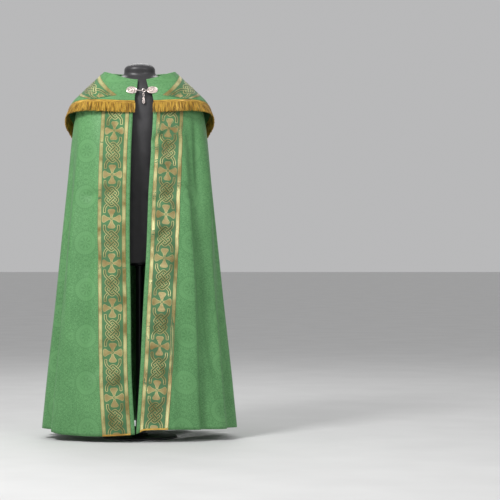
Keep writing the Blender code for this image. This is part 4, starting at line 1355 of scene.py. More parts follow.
@dataclass
class CopePanels:
    """The two fronts and the back of the cope, with the woven bands down the front edges."""

    cloths: Cloths
    rows: int = 170
    band_columns: int = 24
    front_columns: int = 96
    back_columns: int = 250
    cross_heights: dict[str, float] = field(default_factory=lambda: {"left": 1.258, "right": 1.2695})

    def build(self) -> None:
        """Build the panels and their bands."""
        levels = np.linspace(0, HEM_LEVEL, self.rows)
        for side in Side:
            self._front(side, levels)
        self._back(levels)

    def _front(self, side: Side, levels: Array) -> None:
        """Build a front panel and its band.

        Args:
            side: which front.
            levels: the levels of its rows.
        """
        drape = self.cloths.drape
        start = drape.front_angle(levels, side)
        distances = np.concatenate([[MARGIN / 2, MARGIN], MARGIN + BAND_WIDTH * np.arange(1, 25) / 24])
        band = drape.angles_after(levels, start, side.way * distances)
        edge = np.full(levels.shape, side.way * SEAM_ANGLE)
        seam = drape.angles_after(levels, edge, np.array([-side.way * GAP / 2]))[:, 0]
        shares = np.linspace(0, 1, self.front_columns)[1:]
        rest = band[:, -1:] + (seam - band[:, -1])[:, None] * shares[None, :]
        phi = np.concatenate([start[:, None], band, rest], axis=1)
        level = np.broadcast_to(levels[:, None], phi.shape)
        grid = grid_on(drape.cope, phi, level)
        panel = dress(
            sheet_object(f"front_{side.value}_cloth", grid, CLOTH, self.cloths.palette.damask),
            [f"front_{side.value}"],
        )
        strip = self._strip(phi[:, 2:27], level[:, 2:27])
        base, sewn = self._band(side, strip)
        self.cloths.declare(panel, grid, ["form_torso"], [base, *sewn])
        self.cloths.declare(base, strip.grid, [panel], sewn)

    def _strip(self, phi: Array, level: Array) -> Strip:
        """The band's grid, across from its outer side to the edge."""
        grid = grid_on(self.cloths.drape.cope, phi, level)
        along = run_of(grid.points[:, 12])
        across = np.linspace(-BAND_WIDTH / 2, BAND_WIDTH / 2, phi.shape[1])
        grid.flat = np.stack(np.broadcast_arrays(across[None, :], along[:, None]), -1)
        return Strip(grid, along, across)

    def _band(self, side: Side, strip: Strip) -> tuple[Thing, list[Thing]]:
        """Build the band's ground and its woven pattern.

        Args:
            side: which front.
            strip: the band.

        Returns:
            The ground and the pieces on it.
        """
        name, low = f"orphrey_{side.value}", CLOTH + GAP
        middle = strip.grid.points[:, 12]
        first = np.interp(-self.cross_heights[side.value], -middle[:, 2], strip.along)
        crosses = [first + number * Galloon.repeat for number in range(-1, 8)]
        crosses = [place for place in crosses if -0.05 < place < strip.along[-1] + 0.05]
        base, sewn = self.cloths.band(name, strip, strip.grid, crosses, low, GALLOON)
        sewn.append(self._edging(side, strip))
        for way, column in (("outer", 0), ("inner", -1)):
            inset = 0.0012 * (1 if column == 0 else -1)
            x = np.full(400, strip.across[column] + inset)
            points, normals = strip.spot(x, np.linspace(0.004, strip.along[-1] - 0.010, 400))
            sewn.append(self.cloths.seam(f"{name}_{way}_seam", points, normals, low + GALLOON))
        return base, sewn

    def _edging(self, side: Side, strip: Strip) -> Thing:
        """Lay the gold edging across the band's foot."""
        work = FlatWork()
        foot = strip.along[-1]
        ribs = ((0.0035, 0.0065, 0.0007), (0.0018, 0.0014, 0.0010), (0.0052, 0.0014, 0.0010))
        for offset, width, height in ribs:
            x = np.linspace(-BAND_WIDTH / 2 + 0.001, BAND_WIDTH / 2 - 0.001, 40)
            work.ribbon(np.column_stack([x, np.full(40, foot - offset)]), width, height, across=3)
        low = CLOTH + GALLOON + 2 * GAP
        piece = strip.wrap(f"edging_{side.value}_braid", work, low, self.cloths.palette.gilt_braid)
        return dress(piece, [f"edging_{side.value}"])

    def _back(self, levels: Array) -> None:
        """Build the back panel."""
        drape = self.cloths.drape
        edge = np.full(levels.shape, SEAM_ANGLE)
        start = drape.angles_after(levels, edge, np.array([GAP / 2]))[:, :1]
        end = drape.angles_after(levels, 360 - edge, np.array([-GAP / 2]))[:, :1]
        phi = start + (end - start) * np.linspace(0, 1, self.back_columns)[None, :]
        level = np.broadcast_to(levels[:, None], phi.shape)
        grid = grid_on(drape.cope, phi, level, 0.5)
        panel = sheet_object("back_cloth", grid, CLOTH, self.cloths.palette.damask)
        dress(panel, ["back"])
        self.cloths.declare(panel, grid, ["form_torso"])


@dataclass
class Hood:
    """The hood that lies over the shoulders, its woven bands, its medallion, its fringe and its tassel."""

    cloths: Cloths
    columns: int = 230
    rows: int = 60
    edge_level: float = 1.5
    arm_rise: float = 36.0

    def build(self) -> None:
        """Build the hood and all that is sewn on it."""
        phi, level = self._places()
        grid = grid_on(self.cloths.drape.hood, phi, level, 0.5)
        cloth = sheet_object("hood_cloth", grid, HOOD_CLOTH, self.cloths.palette.damask)
        panel = dress(cloth, ["hood"])
        sewn: list[Thing] = []
        for side in Side:
            sewn += self._arm(side, panel)
        sewn += self._stem(panel)
        sewn += self._medallion(panel)
        self.edge_phi, self.edge_levels = phi[-1], level[-1]
        self.cloths.declare(panel, grid, ["front_left_cloth", "front_right_cloth", "back_cloth"], sewn)

    def _angles(self, level: Array, share: Array) -> Array:
        """The hood's column angles: from the right front edge round the back to the left."""
        right = self.cloths.drape.front_angle(level, Side.RIGHT)
        left = self.cloths.drape.front_angle(level, Side.LEFT)
        first = right + (180 - right) * share * 2
        second = 180 + (180 + left) * (share * 2 - 1)
        return np.where(share < 0.5, first, second)

    def _places(self) -> tuple[Array, Array]:
        """The hood's grid of angles and levels."""
        share = np.linspace(0, 1, self.columns)
        edge = self._angles(np.full(self.columns, self.edge_level), share)
        z = looked_up(HOOD_EDGE, "phi", "z", np.abs((edge + 180) % 360 - 180))
        lowest = self.cloths.drape.hood_level(edge, z)
        level = np.linspace(0, 1, self.rows)[:, None] * lowest[None, :]
        phi = self._angles(np.minimum(level, self.edge_level), np.broadcast_to(share, level.shape))
        return phi, level

    def _on(self, point: Array) -> tuple[Array, Array]:
        """The hood's places straight inwards or outwards from points."""
        phi = np.degrees(np.arctan2(point[..., 0], -point[..., 1])) % 360
        return phi, self.cloths.drape.hood_level(phi, point[..., 2])

    def _arm_strip(self, side: Side) -> Strip:
        """The band that runs from the back over a shoulder, as far as the hood's edge.

        Args:
            side: the shoulder.

        Returns:
            The band.
        """
        drape = self.cloths.drape
        rise = math.radians(self.arm_rise)
        heading = np.array([side.way * math.cos(rise), 0.0, math.sin(rise)])
        behind = np.array(180.0)
        start = drape.hood(behind, drape.hood_level(behind, np.array(ARM_ROOT_Z)))
        point = start + heading * ARM_START
        step = 0.008
        centres, headings, normals = [], [], []
        for _ in range(72):
            phi, level = self._on(point)
            normal = facing(drape.hood, phi, level)
            point = drape.hood(phi, level)
            heading = heading - normal * heading.dot(normal)
            heading /= np.linalg.norm(heading)
            centres.append(point)
            headings.append(heading)
            normals.append(normal)
            point = point + heading * step
        across = np.cross(np.array(normals), np.array(headings))
        offsets = np.linspace(-HOOD_BAND_WIDTH / 2, HOOD_BAND_WIDTH / 2, 21)
        points = np.array(centres)[:, None, :] + across[:, None, :] * offsets[None, :, None]
        return self._cut_strip(points, np.arange(72) * step, offsets)

    def _cut_strip(self, points: Array, along: Array, across: Array) -> Strip:
        """A band on the hood from rough points, its columns cut at the hood's edge.

        Args:
            points: rough points, a row for each place along the band.
            along: how far along the rows lie.
            across: how far across the columns lie.

        Returns:
            The band.
        """
        phi, level = self._on(points)
        edge = looked_up(HOOD_EDGE, "phi", "z", np.abs((phi + 180) % 360 - 180))
        over = points[..., 2] - edge
        end = np.zeros(len(across))
        for j in range(len(across)):
            below = np.nonzero(over[:, j] < 0)[0]
            row = int(below[0]) if len(below) else len(along) - 1
            before = over[max(0, row - 1), j]
            share = before / max(1e-9, before - over[row, j])
            end[j] = along[max(0, row - 1)] + share * (along[row] - along[max(0, row - 1)])
        surface = self.cloths.drape.hood
        grid = Grid(surface(phi, level), facing(surface, phi, level), np.zeros((*phi.shape, 2)))
        grid.flat = np.stack(np.broadcast_arrays(across[None, :], along[:, None]), -1)
        return Strip(grid, along, across, end)

    def _band(self, name: str, strip: Strip, crosses: Sequence[float], panel: Thing) -> list[Thing]:
        """Build a band of the hood: its ground and its woven pattern.

        Args:
            name: the solid that it stands for.
            strip: the band.
            crosses: how far along it its crosses lie.
            panel: the hood's cloth.

        Returns:
            The pieces.
        """
        rows = 90
        shares = np.linspace(0, 1, rows)[:, None]
        x = np.broadcast_to(strip.across[None, :], (rows, len(strip.across)))
        y = strip.along[0] + shares * (strip.end - strip.along[0])[None, :]
        points, normals = strip.spot(x.reshape(-1), y.reshape(-1))
        ground = Grid(points.reshape(*x.shape, 3), normals.reshape(*x.shape, 3), np.stack([x, y], -1))
        low = HOOD_CLOTH + GAP
        base, sewn = self.cloths.band(name, strip, ground, crosses, low, APPLIQUE)
        for way, column in (("upper", 1), ("lower", -2)):
            points, normals = ground.points[:, column], ground.normals[:, column]
            sewn.append(self.cloths.seam(f"{name}_{way}_seam", points, normals, low + APPLIQUE))
        self.cloths.declare(base, ground, [panel], sewn)
        return [base, *sewn]

    def _arm(self, side: Side, panel: Thing) -> list[Thing]:
        """Build an arm of the ornament, with its first cross behind the shoulder."""
        strip = self._arm_strip(side)
        middle = strip.grid.points[:, 10]
        first = float(np.interp(0.138, np.abs(middle[:30, 0]), strip.along[:30]))
        crosses = [first + number * Galloon.repeat for number in range(3)]
        return self._band(f"hood_band_{side.value}", strip, crosses, panel)

    def _stem(self, panel: Thing) -> list[Thing]:
        """Build the stem of the ornament below the medallion."""
        offsets = np.linspace(-HOOD_BAND_WIDTH / 2, HOOD_BAND_WIDTH / 2, 21)
        z = np.linspace(MEDALLION_Z - 0.055, 0.985, 60)
        x, height = np.meshgrid(offsets, z)
        point, _ = self._flat_place(x, height, 9)
        strip = self._cut_strip(point, run_of(point[:, 10]), offsets)
        return self._band("hood_band_stem", strip, [STEM_CROSS], panel)

    def _medallion(self, panel: Thing) -> list[Thing]:
        """Build the pointed oval medallion: its field, its braid rim, its cross and its sprays."""
        rows, columns = 60, 41
        shares = np.linspace(-1, 1, rows)[:, None]
        half = MEDALLION_HEIGHT / 2 - 0.003
        sag = MEDALLION_WIDTH / 2 - 0.002
        arc = (half * half + sag * sag) / (2 * sag)
        wide = np.sqrt(arc * arc - (shares * half) ** 2) - (arc - sag)
        x = np.linspace(-1, 1, columns)[None, :] * np.maximum(wide, 0.0004)
        height = np.broadcast_to(MEDALLION_Z - shares * half, x.shape)
        grid = Grid(*self._flat_place(x, height, 8), np.stack([x, MEDALLION_Z - height], -1))
        low = HOOD_CLOTH + APPLIQUE + 2 * GAP
        palette = self.cloths.palette
        ground = sheet_object("medallion_ground", grid.raised(low), APPLIQUE, palette.satin)
        dress(ground, ["medallion"])
        sewn = self._medallion_work(low)
        self.cloths.declare(ground, grid, [panel], sewn)
        return [ground, *sewn]

    def _flat_place(self, x: Array, z: Array, rounds: int = 6) -> tuple[Array, Array]:
        """Points and normals of the hood's back at (x, z)."""
        drape = self.cloths.drape
        phi = np.full(x.shape, 180.0)
        for _ in range(rounds):
            level = drape.hood_level(phi, z)
            point = drape.hood(phi, level)
            phi = 180 - np.degrees(np.arcsin(np.clip(x / np.hypot(point[..., 0], point[..., 1]), -1, 1)))
        return point, facing(drape.hood, phi, level)

    def _lay_back(self, name: str, work: FlatWork, lift: float, material: Material) -> Thing:
        """Lay flat work, drawn from the medallion's centre upwards, on the hood's back."""
        flat = np.concatenate(work.points)
        points, normals = self._flat_place(flat[:, 0], MEDALLION_Z + flat[:, 1])
        points = points + normals * (flat[:, 2] + lift)[:, None]
        return mesh_object(name, points, work.faces, np.concatenate(work.coords), material)

    def _medallion_work(self, low: float) -> list[Thing]:
        """Build the medallion's rim, cross and sprays.

        Args:
            low: the lift of the medallion's under face.

        Returns:
            The pieces.
        """
        palette = self.cloths.palette
        rim = FlatWork()
        dark = FlatWork()
        for work, inset, width, height in ((rim, 0.0022, 0.0046, 0.0016), (dark, 0.0056, 0.0012, 0.0012)):
            work.ribbon(self._oval(inset, 120), width, height, closed=True, across=5)
        cross = FlatWork()
        top, foot, bar = 0.0870, -0.0870, 0.0870 - 0.174 * 0.18
        upright = np.column_stack([np.zeros(40), np.linspace(foot, top, 40)])
        beam = np.column_stack([np.linspace(-HALF_BEAM, HALF_BEAM, 24), np.full(24, bar)])
        turns = np.linspace(0, 2 * math.pi, 16, endpoint=False)
        for path in (upright, beam):
            cross.ribbon(path, 0.0046, 0.0010, across=5)
        for x, z in ((0, top), (0, foot), (-HALF_BEAM, bar), (HALF_BEAM, bar)):
            ahead = np.array([0.0, math.copysign(1, z)]) if x == 0 else np.array([math.copysign(1, x), 0.0])
            side = np.array([ahead[1], -ahead[0]])
            tip = np.array([x, z])
            for out, away in ((0.0, 0.0), (-0.0052, 0.0048), (-0.0052, -0.0048)):
                centre = tip + ahead * (out - 0.0028) + side * away
                bud = centre + 0.0013 * np.column_stack([np.sin(turns), np.cos(turns)])
                cross.ribbon(bud, 0.0027, 0.0013, closed=True)
        sprays = FlatWork()
        for way in (-1, 1):
            self._spray(sprays, way)
        high = low + APPLIQUE
        made = (
            ("rim_braid", rim, low, palette.gilt_braid, "gold_braid", ["medallion_rim"]),
            ("rim_line", dark, low, palette.dark, "gold_braid", []),
            ("cross_braid", cross, high + GAP, palette.silver_braid, "silver_braid", ["medallion_cross"]),
            ("sprays", sprays, high - SPRAYS_SUNK, palette.gilt_braid, "gold_braid", []),
        )
        return [
            dress(self._lay_back(f"medallion_{name}", work, lift, material), nodes)
            for name, work, lift, material, slot, nodes in made
        ]

    def _oval(self, inset: float, steps: int) -> Array:
        """The medallion's outline, drawn in by an inset."""
        half, sag = MEDALLION_HEIGHT / 2 - inset * 1.5, MEDALLION_WIDTH / 2 - inset
        arc = (half * half + sag * sag) / (2 * sag)
        sweep = math.asin(half / arc)
        turns = np.linspace(sweep, -sweep, steps // 2, endpoint=False)
        right = np.column_stack([arc * np.cos(turns) - (arc - sag), arc * np.sin(turns)])
        return np.concatenate([right, -right])

    def _spray(self, work: FlatWork, way: int) -> None:
        """Draw a spray of leaves and ears that rises beside the cross."""
        bends = [(0.004, -0.080), (0.030, -0.064), (0.052, -0.028), (0.054, 0.010), (0.038, 0.036)]
        stem = resampled(rounded(bends, 3), 0.0045) * np.array([way, 1])
        work.ribbon(stem, 0.0020, 0.0007)
        for number in range(2, len(stem) - 1, 2):
            base = stem[number]
            ahead = stem[number + 1] - stem[number - 1]
            ahead /= np.linalg.norm(ahead)
            for lean in (-0.95, 0.95):
                turned = np.array(
                    [
                        ahead[0] * math.cos(lean) - ahead[1] * math.sin(lean),
                        ahead[0] * math.sin(lean) + ahead[1] * math.cos(lean),
                    ]
                )
                bent = np.linspace(0, 1, 7)[:, None] ** 2 * ahead * 0.005
                leaf = base + np.outer(np.linspace(0.08, 1, 7) * 0.0125, turned) + bent
                widths = np.array([0.0008, 0.0026, 0.0038, 0.0040, 0.0033, 0.0020, 0.0006])
                work.ribbon(leaf, widths, 0.0009)
        for reach, foot in ((0.017, -0.020), (0.013, -0.050)):
            turn = np.linspace(-0.5, 1.55, 26) * math.pi
            size = reach * np.linspace(1.0, 0.22, 26) * 0.62
            scroll = np.column_stack([reach + 0.004 + size * np.cos(turn), foot + size * np.sin(turn)])
            work.ribbon(scroll * np.array([way, 1]), np.linspace(0.0012, 0.0032, 26), 0.0010)
            centre = scroll[-1] * np.array([way, 1])
            dot = centre + 0.0014 * np.column_stack([np.sin(turn), np.cos(turn)])[:13]
            work.ribbon(dot, 0.0026, 0.0011, closed=True)


@dataclass
class Fringe:
    """The bullion fringe round the hood's edge, and the tassel at its point."""

    hood: Hood
    header: float = 0.012
    thick: float = 0.0030
    pitch: float = 0.0026
    drop: float = 0.04550
    seed: int = 11

    def build(self) -> None:
        """Build both halves of the fringe and the tassel."""
        drape = self.hood.cloths.drape
        phi, level = self.hood.edge_phi, self.hood.edge_levels
        normals = facing(drape.hood, phi, level)
        points = drape.hood(phi, level) + normals * (HOOD_CLOTH / 2)
        falls = self._hanging(phi, level)
        middle = len(phi) // 2
        line = np.concatenate([points, normals, falls], axis=1)
        rng = np.random.default_rng(self.seed)
        self._half(Side.RIGHT, line[: middle + 1][::-1], rng)
        self._half(Side.LEFT, line[middle:], rng)
        self._tassel(line[middle], rng)

    def _hanging(self, phi: Array, level: Array) -> Array:
        """The way threads hang on the cloth at places of the hood's edge."""
        normal = facing(self.hood.cloths.drape.crest, phi, level)
        plumb = np.array([0.0, 0.0, -1.0])
        across = np.array([1.0, 0.0, 0.0])
        fall = plumb - normal * (normal @ plumb)[:, None]
        side = across - normal * (normal @ across)[:, None]
        side = unit(side)
        drift = (fall * side).sum(1) * np.cos(np.radians(phi)) ** 2
        fall = fall - side * drift[:, None]
        return unit(fall)

    def _stops(self, line: Array, pitch: float, skip: float) -> Array:
        """A line's rows at an even pitch by the length of its points."""
        run = run_of(line[:, :3])
        count = int((run[-1] - skip) / pitch)
        wanted = np.linspace(skip, run[-1], count + 1)
        stops = np.column_stack([np.interp(wanted, run, column) for column in line.T])
        for first in (3, 6):
            stops[:, first : first + 3] = unit(stops[:, first : first + 3])
        return stops

    def _half(self, side: Side, line: Array, rng: np.random.Generator) -> None:
        """Build half of the fringe.

        Args:
            side: which half.
            line: the hood's edge from its point to the front.
            rng: the source of small differences between threads.
        """
        stops = self._stops(line, self.pitch, 0.0016)
        points, normals, falls = stops[:, :3], stops[:, 3:6], stops[:, 6:9]
        ahead = np.gradient(points, axis=0)
        down = np.cross(ahead, normals)
        down *= np.where(down[:, 2:3] > 0, -1, 1)
        down = unit(down)
        ahead = unit(ahead)
        depths = (0.0007, 0.0007, 0.0030, 0.0045, 0.0065, 0.0085, 0.0105, 0.0122, 0.0122)
        profile = list(zip(depths, (-0.5, 0.5, 0.72, 0.5, 0.72, 0.5, 0.72, 0.4, -0.5)))
        work_points = [points + down * depth + normals * out * self.thick for depth, out in profile]
        size, count = len(profile), len(stops)
        header = np.stack(work_points, 1).reshape(-1, 3)
        run = np.arange(count)[:, None] * self.pitch + np.zeros((1, size))
        coords = np.stack([run, np.broadcast_to(np.arange(size) * 0.002, run.shape)], -1).reshape(-1, 2)
        threads, thread_faces, thread_coords = self._threads(points, normals, falls, down, ahead, rng)
        offset = len(header)
        faces = tube_faces(0, count, size) + [tuple(v + offset for v in face) for face in thread_faces]
        piece = mesh_object(
            f"fringe_{side.value}_threads",
            np.concatenate([header, threads]),
            faces,
            np.concatenate([coords, thread_coords]),
            self.hood.cloths.palette.fringe,
        )
        dress(piece, [f"fringe_{side.value}"])

    def _threads(
        self,
        points: Array,
        normals: Array,
        falls: Array,
        down: Array,
        ahead: Array,
        rng: np.random.Generator,
    ) -> tuple[Array, list[tuple[int, ...]], Array]:
        """Hang two rows of twisted threads from the header.

        Args:
            points: the hood's edge.
            normals: its outward normals.
            falls: the way the threads hang.
            down: the way down the header.
            ahead: the way along the edge.
            rng: the source of small differences.

        Returns:
            Points, faces and cloth coordinates.
        """
        made, faces, coords = [], [], []
        shares = np.array([0.0, 0.18, 0.45, 0.75, 1.0])
        corners = np.array([(-1, -1), (1, -1), (1, 1), (-1, 1)])
        locks = np.cumsum(rng.uniform(0.6, 1.4, len(points)))
        pull = np.sin(locks * 1.3) * 0.0016
        swing = np.cos(locks * 0.9) * 0.0010
        for layer in (0, 1):
            for i in range(len(points)):
                root = points[i] + down[i] * (self.header - 0.001)
                root = root + normals[i] * (0.0009 if layer else -0.0007)
                root = root + ahead[i] * self.pitch * 0.5 * layer
                length = self.drop + rng.uniform(-0.0045, 0.0005) - abs(pull[i]) * 1.2
                lean = ahead[i] * (pull[i] + rng.normal(0, 0.0006)) + normals[i] * (
                    swing[i] * (0.8 if layer else 0.3) + rng.uniform(0.0, 0.0007)
                )
                start = len(made) * 4
                for share in shares:
                    wide = self.pitch * (0.40 if share < 0.9 else 0.30)
                    centre = root + falls[i] * length * share + lean * share
                    centre = centre + ahead[i] * 0.0004 * math.sin(9 * share + i)
                    made.append(
                        centre
                        + corners[:, :1] * ahead[i] * wide
                        + corners[:, 1:] * normals[i] * 0.0006
                    )
                    place = i * self.pitch + layer * 0.5
                    sides = place + corners[:, 0] * 0.0004
                    coords.append(np.column_stack([np.full(4, length * share), sides]))
                faces += tube_faces(start, len(shares), 4)
        return np.concatenate(made), faces, np.concatenate(coords)

    def _tassel(self, foot: Array, rng: np.random.Generator) -> None:
        """Build the tassel: its cord, its bound head and its threads."""
        point, down = foot[:3], foot[6:9]
        right = np.array([1.0, 0.0, 0.0])
        out = np.cross(right, down)
        top = point + down * 0.0005
        rings = [
            (0.0, 0.0022),
            (0.010, 0.0019),
            (0.020, 0.0022),
            (0.030, 0.0019),
            (0.042, 0.0022),
            (0.0445, 0.0050),
            (0.047, 0.0068),
            (0.050, 0.0077),
            (0.054, 0.0077),
            (0.057, 0.0068),
            (0.0585, 0.0058),
            (0.0595, 0.0066),
            (0.0605, 0.0058),
            (0.0615, 0.0066),
            (0.0625, 0.0060),
            (0.064, 0.0068),
        ]
        sides = 24
        turns = np.arange(sides) * 2 * math.pi / sides
        circle = np.outer(np.sin(turns), right) + np.outer(np.cos(turns), out)
        points = [top + down * depth + circle * radius for depth, radius in rings]
        coords = [np.column_stack([np.full(sides, depth), turns * 0.006]) for depth, _ in rings]
        faces = tube_faces(0, len(rings), sides)
        count = len(rings) * sides
        for ring, radius, number in ((0, 0.0072, 26), (1, 0.0045, 18)):
            for k in range(number):
                angle = 2 * math.pi * k / number + ring * 0.1
                spoke = right * math.sin(angle) + out * math.cos(angle)
                side = right * math.cos(angle) - out * math.sin(angle)
                length = 0.048 + rng.uniform(-0.002, 0.0)
                for share in (0.0, 0.15, 0.4, 0.7, 1.0):
                    spread = radius * (1 + 0.95 * share**0.7)
                    centre = top + down * (0.0625 + length * share) + spoke * spread
                    centre = centre + side * 0.0006 * math.sin(7 * share + k)
                    cell = [(-1, -1), (1, -1), (1, 1), (-1, 1)]
                    points.append(np.array([centre + (side * a + spoke * b) * 0.0008 for a, b in cell]))
                    coords.append(np.full((4, 2), share * length))
                faces += tube_faces(count, 5, 4)
                count += 20
        piece = mesh_object(
            "tassel_threads",
            np.concatenate(points),
            faces,
            np.concatenate(coords),
            self.hood.cloths.palette.fringe,
        )
        dress(piece, ["tassel"])


def moved(piece: Thing, place: Sequence[float], turn: Matrix | None = None) -> Thing:
    """Turn a piece's mesh and move it."""
    piece.data.transform(Matrix.Translation(place) @ (turn or Matrix()))
    return piece


class Bench:
    """Metalwork from primitives, each made at the origin, shaped in edit mode and copied to its places."""

    def __init__(self, material: Material) -> None:
        """Keep the metal.

        Args:
            material: the metal of every piece.
        """
        self.material = material

    def start(
        self, add: Callable[..., object], scale: Sequence[float] = (1, 1, 1), **sizes: object
    ) -> Thing:
        """Add a primitive and scale it in edit mode.

        Args:
            add: the primitive's operator.
            scale: how much each axis is scaled by.
            sizes: the operator's sizes.

        Returns:
            The object.
        """
        deselect()
        add(**sizes)
        made = bpy.context.object
        bpy.ops.object.mode_set(mode="EDIT")
        bpy.ops.mesh.select_all(action="SELECT")
        bpy.ops.transform.resize(value=tuple(scale), center_override=(0, 0, 0))
        bpy.ops.object.mode_set(mode="OBJECT")
        return made

    def ring(
        self, major: float, minor: float, scale: Sequence[float] = (1, 1, 1), sides: int = 32
    ) -> Thing:
        """A ring of round wire, flat in X and Y."""
        add = bpy.ops.mesh.primitive_torus_add
        sizes = {"major_radius": major, "minor_radius": minor, "major_segments": sides, "minor_segments": 8}
        return self.start(add, scale, **sizes)

    def bead(self, radius: float, flat: float = 1.0, segments: int = 12) -> Thing:
        """A round bead, flattened in Z."""
        add = bpy.ops.mesh.primitive_uv_sphere_add
        return self.start(add, (1, 1, flat), radius=radius, segments=segments, ring_count=segments // 2)

    def round_the(self, piece: Thing, places: Sequence[Matrix]) -> list[Thing]:
        """Copy a piece to places, each with its own mesh, and take the pattern away."""
        made = []
        for place in places:
            twin = piece.copy()
            twin.data = piece.data.copy()
            twin.data.transform(place)
            bpy.context.scene.collection.objects.link(twin)
            made.append(twin)
        bpy.data.objects.remove(piece)
        return made

    def wire(self, name: str, path: Sequence[Sequence[float]], radius: float) -> Thing:
        """A round wire along a smooth path with closed ends.

        Args:
            name: its name.
            path: the points that it runs near.
            radius: half of its thickness.

        Returns:
            The object.
        """
        line = rounded(path, 3)
        ahead = np.gradient(line, axis=0)
        ahead = unit(ahead)
        across = np.cross(ahead, np.array([0.0, 0.0, 1.0]))
        across = unit(across)
        rise = np.cross(across, ahead)
        sides = 10
        turns = np.arange(sides) * 2 * math.pi / sides
        cosine, sine = np.cos(turns)[None, :, None], np.sin(turns)[None, :, None]
        circle = cosine * across[:, None] + sine * rise[:, None]
        points = (line[:, None] + circle * radius).reshape(-1, 3)
        faces = tube_faces(0, len(line), sides)
        return mesh_object(name, points, faces, np.zeros((len(points), 2)), self.material)

    def joined(self, name: str, pieces: Sequence[Thing]) -> Thing:
        """Join pieces as one object with the metal's material and smooth shading."""
        deselect()
        for piece in pieces:
            piece.data.materials.clear()
            piece.select_set(True)
        bpy.context.view_layer.objects.active = pieces[0]
        bpy.ops.object.join()
        made = bpy.context.object
        made.name = made.data.name = name
        made.data.materials.clear()
        made.data.materials.append(self.material)
        made.data.shade_smooth()
        made.data.set_sharp_from_angle(angle=math.radians(40))
        return made


